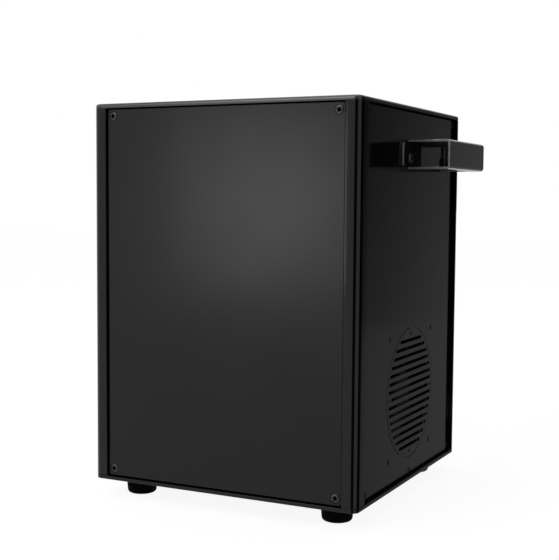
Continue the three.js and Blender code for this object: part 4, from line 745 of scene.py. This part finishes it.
class SPARK_OT_stage(MachineOperator, bpy.types.Operator):
    """Set the camera, the pale floor and the soft studio light"""

    bl_idname = "spark_machine.stage"
    bl_label = "Stage"

    def build(self, context):
        stage = context.scene.spark_machine_stage
        self.camera(context, stage)
        self.world(context, stage)
        self.floor(stage)
        for name, place, side, lamp_power in SOFTBOXES:
            self.softbox(context, name, place, side, getattr(stage, lamp_power))
        low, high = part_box("base_plate")
        for name, start, end, radius, glow, card in DARK_PAPERS:
            self.dark_paper(name, (high.x, low.y), start, end, radius, glow, card)
        context.scene.view_settings.view_transform = "Standard"

    def camera(self, context, stage):
        data = bpy.data.cameras.new("camera")
        data.lens = stage.lens
        data.sensor_width = 36.0
        camera = bpy.data.objects.new("camera", data)
        camera.location = stage.camera_place
        camera.rotation_euler = stage.camera_turn
        context.scene.collection.objects.link(camera)
        context.scene.camera = camera

    def seen_plainly(self, tree):
        """1 for rays that see the background itself: from the camera, a reflection or a clear piece."""
        rays = tree.nodes.new("ShaderNodeLightPath")
        total = rays.outputs["Is Camera Ray"]
        for name in ("Is Glossy Ray", "Is Transmission Ray"):
            most = tree.nodes.new("ShaderNodeMath")
            most.operation = "MAXIMUM"
            tree.links.new(total, most.inputs[0])
            tree.links.new(rays.outputs[name], most.inputs[1])
            total = most.outputs["Value"]
        return total

    def mix_shaders(self, tree, weight, first, second, output):
        """Leads two shaders, mixed by a weight, to the tree's output."""
        mix = tree.nodes.new("ShaderNodeMixShader")
        for source, socket in zip((weight, first, second), mix.inputs):
            tree.links.new(source, socket)
        tree.links.new(mix.outputs["Shader"], tree.nodes[output].inputs["Surface"])

    def world(self, context, stage):
        """White where it is seen plainly, and dimmer in the light that it gives."""
        world = bpy.data.worlds.new("studio")
        world.use_nodes = True
        tree = world.node_tree
        around = tree.nodes["Background"]
        around.inputs["Color"].default_value = (1, 1, 1, 1)
        around.inputs["Strength"].default_value = stage.ambient
        behind = tree.nodes.new("ShaderNodeBackground")
        behind.inputs["Color"].default_value = (1, 1, 1, 1)
        behind.inputs["Strength"].default_value = 1.0
        self.mix_shaders(tree, self.seen_plainly(tree), around.outputs["Background"],
                         behind.outputs["Background"], "World Output")
        context.scene.world = world

    def floor(self, stage):
        """A pale floor that shows as white but keeps the object's shadow."""
        half, stain, white = 6.0, 0.4, 1.06
        bm = bmesh.new()
        bmesh.ops.create_grid(bm, x_segments=1, y_segments=1, size=half)
        pale = Finish("pale_floor", stage.floor, 0.6, level=0.2)
        pale.vary_colour(pale.cloud(stain), 0.99, 1.0)
        glow = pale.tree.nodes.new("ShaderNodeEmission")
        glow.inputs["Strength"].default_value = white
        weight = pale.combine(self.seen_plainly(pale.tree), stage.floor_glow, "MULTIPLY")
        self.mix_shaders(pale.tree, weight, pale.shader.outputs["BSDF"], glow.outputs["Emission"],
                         "Material Output")
        floor = mesh_object("floor", bm, pale.material)

    def softbox(self, context, name, place, side, watts):
        """A square lamp that faces the object's middle."""
        data = bpy.data.lights.new(name, "AREA")
        data.shape = "SQUARE"
        data.size = side
        data.energy = watts
        lamp = bpy.data.objects.new(name, data)
        lamp.location = place
        middle = Vector((0, 0, 0.5 * (CAD_BOX[0].z + CAD_BOX[1].z)))
        lamp.rotation_euler = (middle - Vector(place)).to_track_quat("-Z", "Y").to_euler()
        context.scene.collection.objects.link(lamp)

    def dark_paper(self, name, corner, start, end, radius, glow, card):
        """Dark paper on the floor and up behind, which only reflections see, as product studios hang it.

        It fans out from a corner of the object. The glow is its level on the floor, higher up, and what
        it gains towards the middle of the rear. A card is a strip of the upright part alone, from that
        height up to twice as high.
        """
        bm = bmesh.new()
        tip, lift, top, fade = 10 * MM, 2 * MM, 1.6, 0.5
        rear_middle, rear_side = 0.54, 0.78
        profile = [(radius, 0, card), (radius, 0, 2 * card)] if card else [
            (tip, 0, lift), (radius, 0, lift), (radius, 0, top)]
        points = [bm.verts.new(place) for place in profile]
        edges = [bm.edges.new(pair) for pair in zip(points, points[1:])]
        bmesh.ops.spin(bm, geom=points + edges, cent=(0, 0, 0), axis=UP, angle=math.radians(end - start),
                       steps=8, use_merge=False)
        turn = Matrix.Rotation(math.radians(start - 90), 4, "Z")
        bmesh.ops.transform(bm, matrix=moved(*corner) @ turn, verts=bm.verts)
        paper = Finish(f"{name}_paper", (0.004, 0.004, 0.004), 0.9, level=0.05)
        split = paper.tree.nodes.new("ShaderNodeSeparateXYZ")
        paper.link(paper.place, split.inputs["Vector"])
        low_glow, high_glow, gain = glow
        upright = paper.between(split.outputs["Z"], low_glow, high_glow, 0.0, fade)
        level = paper.combine(upright, paper.between(split.outputs["X"], gain, 0.0, rear_middle, rear_side))
        paper.shader.inputs["Emission Color"].default_value = (1, 1, 1, 1)
        paper.link(level, paper.shader.inputs["Emission Strength"])
        sweep = mesh_object(name, bm, paper.material)
        sweep.visible_camera = False
        sweep.visible_diffuse = False
        sweep.visible_shadow = False


class SPARK_OT_casing(MachineOperator, bpy.types.Operator):
    """Finish the surfaces of the solid model and soften its edges"""

    bl_idname = "spark_machine.casing"
    bl_label = "Casing and inner pieces"

    def build(self, context):
        clean = self.cleaning_nodes()
        for name, node in NODES.items():
            slot = node.data.materials[0].name
            node.material_slots[0].material = finish(NODE_FINISHES.get(name, slot))
            self.soften_edges(node, clean)

    def cleaning_nodes(self):
        """Geometry nodes that merge a solid's loose triangles and shade its round stretches smooth."""
        group = bpy.data.node_groups.new("clean_solid", "GeometryNodeTree")
        group.interface.new_socket("Geometry", in_out="INPUT", socket_type="NodeSocketGeometry")
        group.interface.new_socket("Geometry", in_out="OUTPUT", socket_type="NodeSocketGeometry")
        merge = group.nodes.new("GeometryNodeMergeByDistance")
        merge.inputs["Distance"].default_value = HAIR
        plain = group.nodes.new("GeometryNodeRemoveAttribute")
        plain.inputs["Name"].default_value = "custom_normal"
        smooth = group.nodes.new("GeometryNodeSetShadeSmooth")
        smooth.domain = "FACE"
        angle = group.nodes.new("GeometryNodeInputMeshEdgeAngle")
        steep = group.nodes.new("FunctionNodeCompare")
        steep.operation = "GREATER_THAN"
        steep.inputs["B"].default_value = SMOOTH_BELOW
        sharp = group.nodes.new("GeometryNodeSetShadeSmooth")
        sharp.domain = "EDGE"
        sharp.inputs["Shade Smooth"].default_value = False
        geometry = group.nodes.new("NodeGroupInput").outputs[0]
        for step in (merge, plain, smooth, sharp):
            group.links.new(geometry, step.inputs["Geometry"])
            geometry = step.outputs[0]
        group.links.new(angle.outputs["Unsigned Angle"], steep.inputs["A"])
        group.links.new(steep.outputs[0], sharp.inputs["Selection"])
        group.links.new(geometry, group.nodes.new("NodeGroupOutput").inputs[0])
        return group

    def soften_edges(self, node, clean):
        """Merges the solid's triangles, joins its flat faces and rounds its edges."""
        node.modifiers.new("clean", "NODES").node_group = clean
        flat = node.modifiers.new("flat_faces", "DECIMATE")
        flat.decimate_type = "DISSOLVE"
        flat.angle_limit = FLAT_BELOW
        edges = node.modifiers.new("soft_edges", "BEVEL")
        edges.width = sizes().edge_width
        edges.segments = 2
        edges.limit_method = "ANGLE"
        edges.angle_limit = SMOOTH_BELOW
        node.modifiers.new("even_shading", "WEIGHTED_NORMAL").keep_sharp = True


# The side panels' screws: millimetres behind the casing's front edge and over its base.
SIDE_SCREWS = ((27.7, 318), (237.6, 318), (26.7, 8.7), (237.6, 8.0), (131, 6.3))


class SPARK_OT_panel_screws(MachineOperator, bpy.types.Operator):
    """Put the countersunk screws into the panels and the cover"""

    bl_idname = "spark_machine.panel_screws"
    bl_label = "Panel screws"

    def build(self, context):
        size = sizes()
        head = (size.panel_screw_radius, size.panel_screw_rise)
        low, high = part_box("front_panel")
        columns = (low.x + size.front_screw_inset, high.x - size.front_screw_inset)
        rows = (low.z + size.front_screw_drop, high.z - size.front_screw_drop)
        corners = [(x, z) for x in columns for z in rows]
        screws("front_panel_screws", cross_screw(*head), [(x, low.y, z) for x, z in corners], FRONT)
        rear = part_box("rear_panel")[1].y
        middle = 0.5 * (rows[0] + rows[1])
        rear_places = [(x, rear, z) for x, z in corners + [(x, middle) for x in columns]]
        screws("rear_panel_screws", cross_screw(*head), rear_places, BACK)
        self.side_screws(head)
        self.cover_screws(head)

    def side_screws(self, head):
        """Two rows of two, and one in the middle of the lower edge."""
        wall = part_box("right_panel")[1].x
        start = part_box("base_plate")[0]
        places = [(start.y + depth * MM, start.z + height * MM) for depth, height in SIDE_SCREWS]
        small_share = 0.8
        for side, direction in SIDES:
            seats = [(direction.x * wall, y, z) for y, z in places]
            screws(f"{side}_panel_screws", cross_screw(small_share * head[0], head[1]), seats, direction)

    def cover_screws(self, head):
        low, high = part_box("top_cover")
        inset = sizes().cover_screw_inset
        places = [(x, y, high.z) for x in (low.x + inset, high.x - inset)
                  for y in (low.y + inset, high.y - inset)]
        screws("cover_screws", cross_screw(*head), places, UP)


class SPARK_OT_grille_screws(MachineOperator, bpy.types.Operator):
    """Put the screws round and on the two grilles"""

    bl_idname = "spark_machine.grille_screws"
    bl_label = "Grille screws"

    def build(self, context):
        size = sizes()
        small_share = 0.72
        half, circle = size.fan_hole_spacing / 2, size.grille_plate_circle
        for side, direction in SIDES:
            low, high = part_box(f"grille_{side}")
            centre = (low + high) / 2
            face = high.x if side == "right" else low.x
            square = [(y * half, z * half) for y in (-1, 1) for z in (-1, 1)]
            cross = [(circle, 0), (-circle, 0), (0, circle), (0, -circle)]
            for label, spots, factor in (("fan", square, 1), ("grille", cross, small_share)):
                places = [(face, centre.y + y, centre.z + z) for y, z in spots]
                shape = cross_screw(size.grille_screw_radius * factor, size.panel_screw_rise)
                screws(f"{label}_screws_{side}", shape, places, direction)


class SPARK_OT_handles(MachineOperator, bpy.types.Operator):
    """Bend the two carrying handles from sheet and screw them on"""

    bl_idname = "spark_machine.handles"
    bl_label = "Handles"
    # Material slots: the cut edges, rubbed grey and a painted highlight, and the sides painted near black
    # as shade.
    cut_edge, dull_side = 1, 2
    rounded_below = math.radians(60)

    def build(self, context):
        size = sizes()
        for side, direction in SIDES:
            low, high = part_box(f"handle_{side}")
            if side == "left":
                low, high = Vector((-high.x, low.y, low.z)), Vector((-low.x, high.y, high.z))
            shape = joined(self.channel(size, low, high), *self.tabs(size, low, high))
            if side == "left":
                bmesh.ops.scale(shape, vec=(-1, 1, 1), verts=shape.verts)
            mesh_piece(f"bent_handle_{side}", shape, finish("handle"), finish("rubbed_edge_highlight"), finish("pad"),
                       slot="paint", replaces=[f"handle_{side}"])
            height = 0.5 * (low.z + high.z) - size.handle_screw_drop
            seat = direction.x * (low.x + size.handle_sheet)
            places = [(seat, y, height) for y in (low.y + size.handle_screw_place,
                                                  high.y - size.handle_screw_place)]
            head = socket_screw(size.handle_screw_radius, size.handle_screw_rise)
            screws(f"handle_screws_{side}", head, places, direction)

    def channel(self, size, low, high):
        """A lower flange cut out for the fingers, folded up and over into a C, and given its thickness."""
        wall, out = low.x, high.x
        front, rear = low.y + size.handle_tab, high.y - size.handle_tab
        grip = out - size.handle_grip
        outline = [(wall, front), (out, front), (out, rear), (wall, rear), (wall, rear - size.handle_arm),
                   (grip, rear - size.handle_arm), (grip, front + size.handle_arm),
                   (wall, front + size.handle_arm)]
        bm = bmesh.new()
        flange = bm.faces.new([bm.verts.new((x, y, low.z)) for x, y in outline])
        inner = [vert for vert in flange.verts if abs(vert.co.x - grip) < HAIR]
        bmesh.ops.bevel(bm, geom=inner, offset=size.handle_cut, affect="VERTICES", segments=8,
                        profile=0.5, clamp_overlap=False, material=-1)
        edges = [edge for edge in bm.edges if all(abs(vert.co.x - out) < HAIR for vert in edge.verts)]
        for step in ((0, 0, high.z - low.z), (wall - out, 0, 0)):
            made = bmesh.ops.extrude_edge_only(bm, edges=edges)["geom"]
            folded = [item for item in made if isinstance(item, bmesh.types.BMVert)]
            bmesh.ops.translate(bm, vec=step, verts=folded)
            edges = [item for item in made if isinstance(item, bmesh.types.BMEdge)
                     and all(vert in folded for vert in item.verts)]
        bevel(bm, [edge for edge in bm.edges if edge.calc_face_angle(0.0) > 1], size.handle_bend, 8)
        bmesh.ops.recalc_face_normals(bm, faces=bm.faces)
        self.point_outwards(bm, Vector((grip - size.handle_bend, front, (low.z + high.z) / 2)))
        bmesh.ops.solidify(bm, geom=bm.faces[:], thickness=size.handle_sheet)
        bmesh.ops.recalc_face_normals(bm, faces=bm.faces)
        # Cut edges get the rubbed finish, lightened as a painted highlight; faces towards the wall and
        # under the top flange get the near-black finish, painted shade inside the C.
        upright, endwise, backwards = 0.3, 0.5, -0.2
        for face in bm.faces:
            middle = face.calc_center_median()
            in_flange = middle.z < low.z + size.handle_sheet and middle.x < out - size.handle_bend
            in_upper_half = middle.z > (low.z + high.z) / 2
            if abs(face.normal.z) < upright and (abs(face.normal.y) > endwise or in_flange):
                face.material_index = self.cut_edge
            elif face.normal.x < backwards or (face.normal.z < backwards and in_upper_half):
                face.material_index = self.dull_side
        return soften(bm, size.edge_width, sharper=self.rounded_below)

    def point_outwards(self, bm, inside):
        """Turns the sheet's faces round if they face the inside of the C."""
        web = max(bm.faces, key=lambda face: face.calc_center_median().x)
        if web.normal.dot(web.calc_center_median() - inside) < 0:
            bmesh.ops.reverse_faces(bm, faces=bm.faces)

    def tabs(self, size, low, high):
        """The screwed pads, which lie on the wall and run into the closed ends of the C."""
        made = []
        clearance, corner, endwise = 0.6 * MM, 3 * MM, 0.5
        height = high.z - low.z - 2 * size.handle_sheet - clearance
        for end, sign, length_along in ((low.y, 1, size.handle_pad), (high.y, -1, size.handle_rear_pad)):
            centre = (low.x + size.handle_sheet / 2, end + sign * length_along / 2, 0.5 * (low.z + high.z))
            bm = block(size.handle_sheet, length_along, height, centre)
            corners = [edge for edge in bm.edges if runs_along(edge, 0, size.edge_width)
                       and abs(edge.verts[0].co.y - end) < HAIR]
            bevel(bm, corners, corner, 5)
            # The pads' ends get the rubbed finish with its painted highlight, and their other faces the
            # near-black painted shade.
            for face in bm.faces:
                is_end = abs(face.normal.y) > endwise
                face.material_index = self.cut_edge if is_end else self.dull_side
            made.append(soften(bm, size.edge_width, sharper=self.rounded_below))
        return made


class SPARK_OT_feet(MachineOperator, bpy.types.Operator):
    """Mould the four rubber feet, each with its washer and screw underneath"""

    bl_idname = "spark_machine.feet"
    bl_label = "Feet"

    def build(self, context):
        edge = sizes().foot_edge
        taper, well, roof, lip, shoulder = 1.15 * MM, 6.5 * MM, 6 * MM, 0.6 * MM, 0.8 * MM
        washer_radius, washer_height, washer_edge = 6 * MM, 1 * MM, 0.2 * MM
        head_radius, head_rise, gap = 3.6 * MM, 1.9 * MM, 0.1 * MM
        for place in ("front_left", "front_right", "rear_left", "rear_right"):
            low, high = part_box(f"foot_{place}")
            top = (high.x - low.x) / 2
            height = high.z - low.z
            centre = moved((low.x + high.x) / 2, (low.y + high.y) / 2, low.z)
            profile = [(0, roof), (well, roof), *rounded(lip, 3, 180, 270, well + lip, lip)]
            profile += rounded(edge, 6, -90, -5, top - taper - edge, edge)
            profile += rounded(shoulder, 3, 0, 90, top - shoulder, height - shoulder)
            profile.append((0, height))
            mesh_piece(f"rubber_foot_{place}", repeated(turned(profile, steps=64), [centre]),
                       finish("rubber"), slot="rubber", replaces=[f"foot_{place}"])
            washer = soften(disc(washer_radius, washer_height, steps=40), washer_edge)
            head = repeated(cross_screw(head_radius, head_rise), [facing(-UP, (0, 0, gap))])
            fixing = joined(washer, head)
            seat = centre @ moved(0, 0, roof - washer_height - gap)
            mesh_piece(f"foot_fixing_{place}", repeated(fixing, [seat]), finish("zinc"), finish("recess"),
                       slot="zinc")


class SPARK_OT_outlet(MachineOperator, bpy.types.Operator):
    """Turn the outlet ring round the nozzle and fasten it"""

    bl_idname = "spark_machine.outlet"
    bl_label = "Spark outlet"

    def build(self, context):
        size = sizes()
        edge, circle = size.outlet_edge, size.outlet_screw_circle
        fit, neck, gap, collar_drop = 22.3 * MM, 26 * MM, 0.3 * MM, 4.7 * MM
        lip, lip_width = 1.2 * MM, 1.0 * MM
        head_radius, head_rise = 3.0 * MM, 1.8 * MM
        low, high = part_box("outlet_ring")
        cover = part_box("top_cover")[1].z
        flange = (high.x - low.x) / 2
        seat, collar = cover + gap, cover - collar_drop
        profile = [(fit, low.z), (neck, low.z), (neck, seat), (flange, seat)]
        profile += rounded(edge, 6, 0, 90, flange - edge, high.z - edge)
        profile += rounded(lip, 4, 90, 145, size.outlet_mouth + lip_width, high.z - lip)
        profile += [(size.outlet_bore, collar), (fit, collar)]
        ring = turned(profile, steps=96, closed=True)
        mesh_piece("turned_outlet_ring", ring, finish("hot_steel"), slot="steel", replaces=["outlet_ring"])
        turns = [math.radians(angle) for angle in (45, 135, 225, 315)]
        places = [(circle * math.cos(turn), circle * math.sin(turn), high.z) for turn in turns]
        screws("outlet_screws", socket_screw(head_radius, head_rise), places, UP, material="steel",
               slot="steel")


class SPARK_OT_gaskets(MachineOperator, bpy.types.Operator):
    """Lay near-black foam into the gaps round the four panels and under the cover, as painted shade in
    those gaps
    """

    bl_idname = "spark_machine.gaskets"
    bl_label = "Panel gaskets"

    def build(self, context):
        size = sizes()
        for name, direction in (("front_panel", FRONT), ("rear_panel", BACK), ("right_panel", RIGHT),
                                ("left_panel", LEFT)):
            low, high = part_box(name)
            middle, half = (low + high) / 2, (high - low) / 2
            thickness = abs(half.dot(direction))
            stand = facing(direction, middle + direction * thickness)
            across = stand.to_3x3().inverted() @ half
            # Near-black foam, which also paints the shade in the gap round the panel.
            foam_frame = window_frame(2 * (abs(across.x) + LAP), 2 * (abs(across.y) + LAP),
                                      size.gasket_width, thickness)
            drop = moved(0, 0, -thickness - size.gasket_depth)
            mesh_piece(f"{name}_gasket", repeated(foam_frame, [stand @ drop]), finish("foam"),
                       slot="rubber")
        self.cover_seal()

    def cover_seal(self):
        """A thin seal between the cover's edge and the posts, near black, which also paints the shade under
        the cover's edge.
        """
        low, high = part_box("top_cover")
        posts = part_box("post_front_left")[1].z
        panel_gap, inset, width, radius = 1 * MM, 0.9 * MM, 3 * MM, 5 * MM
        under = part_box("front_panel")[1].z + panel_gap
        across, along = high.x - low.x - 2 * (inset + width), high.y - low.y - 2 * (inset + width)
        seal = window_frame(across, along, width, under - posts - LAP)
        corners = [edge for edge in seal.edges
                   if runs_along(edge, 2, HAIR) and abs(edge.verts[0].co.x) > (across + width) / 2]
        place = moved(0, (low.y + high.y) / 2, posts)
        mesh_piece("cover_seal", repeated(bevel(seal, corners, radius, 6), [place]), finish("foam"),
                   slot="rubber")


class RearFittings(MachineOperator):
    """What the operators on the rear panel share."""

    def seat(self, node_name, x, z):
        """Where a line from behind first meets a solid, and how that spot faces."""
        mesh = NODES[node_name].data
        tree = BVHTree.FromPolygons([vert.co for vert in mesh.vertices],
                                    [face.vertices for face in mesh.polygons])
        spot, normal = tree.ray_cast(Vector((x, 2 * CAD_BOX[1].y, z)), FRONT)[:2]
        if spot is None:
            raise RuntimeError(f"{node_name} has nothing at {x}, {z}")
        return spot, normal

    def on(self, node_name, x, z):
        """The matrix that lays a shape on that spot, sunk in by a hair."""
        spot, normal = self.seat(node_name, x, z)
        return facing(normal, spot - normal * HAIR)


class SPARK_OT_controls(RearFittings, bpy.types.Operator):
    """Make the display's frame and digits, the four buttons and their printed marks"""

    bl_idname = "spark_machine.controls"
    bl_label = "Display and buttons"

    def build(self, context):
        size = sizes()
        low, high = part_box("display_pane")
        centre = (low + high) / 2
        self.bezel(size, low, high, centre)
        self.digits(size, centre, high.y)
        for number in range(1, 5):
            low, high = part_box(f"button_{number}")
            middle = (low + high) / 2
            self.button(size, number, low, high, middle)
            self.mark(size, number, middle)

    def bezel(self, size, low, high, centre):
        """A frame that covers the pane's edge."""
        rim, proud, edge, play = 0.4 * MM, 0.5 * MM, 0.45 * MM, 0.6 * MM
        width = size.bezel_width
        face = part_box("rear_panel")[1].y
        shape = window_frame(high.x - low.x - 2 * width - play, high.z - low.z - 2 * width - play,
                             width + rim, high.y - face + proud)
        place = facing(BACK, (centre.x, face, centre.z))
        mesh_piece("display_bezel", repeated(soften(shape, edge, 3), [place]), finish("black_plastic"),
                   slot="black_plastic")

    def digits(self, size, centre, face):
        """Four digits of seven unlit segments, with their points."""
        flat, cut, dot_radius, dot_gap, slant = 0.05 * MM, 0.42 * MM, 0.55 * MM, 1.9 * MM, 0.1
        step, spacing = 5 * MM, size.digit_spacing
        bar = block(size.segment_length, size.segment_width, flat)
        bevel(bar, [edge for edge in bar.edges if runs_along(edge, 2, 0.5 * flat)], cut, 1)
        lean = Matrix.Identity(4)
        lean[0][1] = -slant
        upright = Matrix.Rotation(math.pi / 2, 4, "Z")
        strokes = [moved(0, y) for y in (-step, 0, step)]
        strokes += [moved(x, y) @ upright for x in (-step / 2, step / 2) for y in (-step / 2, step / 2)]
        stand = facing(BACK, (centre.x, face, centre.z), math.pi)
        columns = [stand @ moved((number - 1.5) * spacing, 0) for number in range(4)]
        shape = repeated_each([
            (bar, [column @ lean @ stroke for column in columns for stroke in strokes]),
            (disc(dot_radius, flat, steps=16), [column @ moved(step / 2 + dot_gap, -step)
                                                for column in columns]),
        ])
        mesh_piece("display_digits", shape, finish("segments"), slot="pane")

    def button(self, size, number, low, high, middle):
        """A turned cap with a rounded edge and a shallow dish, over the collar that holds it in."""
        collar_height, dish, dish_middle, dish_share = 0.75 * MM, 0.12 * MM, 0.16 * MM, 0.4
        collar = (high.x - low.x) / 2
        radius = collar - size.button_collar
        edge, height = size.button_dome, high.y - low.y
        profile = [(0, 0), (collar, 0), (collar, collar_height), (radius, collar_height)]
        profile += rounded(edge, 5, 0, 90, radius - edge, height - edge)
        profile += [(dish_share * radius, height - dish), (0, height - dish_middle)]
        cap = repeated(turned(profile), [facing(BACK, (middle.x, low.y, middle.z))])
        mesh_piece(f"button_cap_{number}", cap, finish("black_plastic"), body=f"key_{number}",
                   slot="black_plastic", replaces=[f"button_{number}"])

    def mark(self, size, number, middle):
        """Three lines, up, down and a ring, under the buttons from left to right."""
        flat = size.mark_height
        line_length, line_width, line_step = 4.4 * MM, 0.6 * MM, 1.3 * MM
        inner, outer, wedge_radius = 1.3 * MM, 1.9 * MM, 2.3 * MM
        place = self.on("rear_panel", middle.x, middle.z - size.mark_drop)
        if number == 1:
            line = block(line_length, line_width, flat, (0, 0, flat / 2))
            shape = repeated(line, [place @ moved(0, y) for y in (-line_step, 0, line_step)])
        elif number == 4:
            shape = repeated(tube(inner, outer, flat), [place])
        else:
            turn = Matrix.Rotation(math.pi / 2 if number == 3 else -math.pi / 2, 4, "Z")
            shape = repeated(disc(wedge_radius, flat, steps=3), [place @ turn])
        mesh_piece(f"button_mark_{number}", shape, finish("marks"), slot="white_plastic")


class SPARK_OT_connectors(RearFittings, bpy.types.Operator):
    """Fit the sockets' pins, contacts and screws, and print the rocker's marks"""

    bl_idname = "spark_machine.connectors"
    bl_label = "Sockets and switch"

    def build(self, context):
        size = sizes()
        self.pins(size)
        self.blades(size)
        self.rocker_marks(size)
        inset, head_radius, head_rise = 3.3 * MM, 1.9 * MM, 0.7 * MM
        for name in ("signal_in", "signal_out"):
            low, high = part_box(name)
            spots = [(low.x + inset, high.z - inset), (high.x - inset, low.z + inset)]
            places = [self.seat(name, x, z)[0] for x, z in spots]
            screws(f"{name}_screws", cross_screw(head_radius, head_rise), places, BACK,
                   slot="black_plastic")

    def circle_places(self, size, centre, y):
        """The three pins' places, seen from behind: left, right and below."""
        turns = [math.radians(angle) for angle in (0, 180, 270)]
        return [facing(BACK, (centre.x + size.pin_circle * math.cos(turn), y,
                              centre.z + size.pin_circle * math.sin(turn))) for turn in turns]

    def pins(self, size):
        """Round pins in the signal inlet, and tubes for such pins in the outlet."""
        sink, inner, outer, contact_length, contact_depth = 0.3 * MM, 0.75 * MM, 1.42 * MM, 6 * MM, 7 * MM
        centre = centre_of("signal_in")
        floor = self.seat("signal_in", centre.x, centre.z)[0].y - sink
        radius = size.pin_radius
        pin = turned([(0, 0), (radius, 0), (radius, size.pin_length - 0.6 * radius),
                      (0.75 * radius, size.pin_length - 0.2 * radius), (0, size.pin_length)], steps=20)
        mesh_piece("signal_pins", repeated(pin, self.circle_places(size, centre, floor)), finish("steel"),
                   slot="steel")
        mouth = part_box("signal_out")[1].y
        places = self.circle_places(size, centre_of("signal_out"), mouth - contact_depth)
        mesh_piece("signal_contacts", repeated(tube(inner, outer, contact_length, steps=20), places),
                   finish("brass"), slot="brass")

    def blades(self, size):
        """Plated sleeves over the inlet's three blades."""
        width, height, edge, long = 2.3 * MM, 4.3 * MM, 0.5 * MM, size.blade_length
        spacing, half_step, cavity_rise, cavity_depth = 7 * MM, 2 * MM, 8.25 * MM, 15.05 * MM
        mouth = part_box("power_inlet")[1].y
        middle = centre_of("power_inlet").x
        cavity = centre_of("power_inlet").z + cavity_rise
        blade = soften(block(width, height, long, (0, 0, long / 2)), edge)
        spots = [(middle - spacing, cavity - half_step), (middle + spacing, cavity - half_step),
                 (middle, cavity + half_step)]
        places = [facing(BACK, (x, mouth - cavity_depth, z)) for x, z in spots]
        mesh_piece("inlet_blades", repeated(blade, places), finish("steel"), slot="steel")

    def rocker_marks(self, size):
        """A bar on the half that switches on, a ring on the half that switches off."""
        width, height, inner, outer, reach_share = 0.9 * MM, 4.2 * MM, 1.5 * MM, 2.2 * MM, 0.27
        low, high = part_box("power_rocker")
        centre = (low + high) / 2
        reach = reach_share * (high.z - low.z)
        flat = size.mark_height
        shape = repeated_each([
            (block(width, height, flat, (0, 0, flat / 2)),
             [self.on("power_rocker", centre.x, centre.z + reach)]),
            (tube(inner, outer, flat), [self.on("power_rocker", centre.x, centre.z - reach)]),
        ])
        mesh_piece("rocker_marks", shape, finish("marks"), body="rocker", slot="white_plastic")


class VIEW3D_PT_spark_machine(bpy.types.Panel):
    """The sidebar's list of what can be built"""

    bl_label = "Spark machine"
    bl_idname = "VIEW3D_PT_spark_machine"
    bl_space_type = "VIEW_3D"
    bl_region_type = "UI"
    bl_category = "Spark machine"

    def draw(self, context):
        for operator in OPERATORS:
            self.layout.operator(operator.bl_idname)


GROUPS = {
    "spark_machine_colours": SparkMachineColours,
    "spark_machine_sizes": SparkMachineSizes,
    "spark_machine_stage": SparkMachineStage,
}
OPERATORS = (
    SPARK_OT_stage,
    SPARK_OT_casing,
    SPARK_OT_panel_screws,
    SPARK_OT_grille_screws,
    SPARK_OT_handles,
    SPARK_OT_feet,
    SPARK_OT_outlet,
    SPARK_OT_gaskets,
    SPARK_OT_controls,
    SPARK_OT_connectors,
)


def register():
    for kind in (*GROUPS.values(), *OPERATORS, VIEW3D_PT_spark_machine):
        bpy.utils.register_class(kind)
    for name, group in GROUPS.items():
        setattr(bpy.types.Scene, name, PointerProperty(type=group))


def unregister():
    for name in GROUPS:
        delattr(bpy.types.Scene, name)
    for kind in (VIEW3D_PT_spark_machine, *reversed(OPERATORS), *reversed(GROUPS.values())):
        bpy.utils.unregister_class(kind)


def main():
    register()
    for operator in OPERATORS:
        category, name = operator.bl_idname.split(".")
        getattr(getattr(bpy.ops, category), name)()


if __name__ == "__main__":
    main()
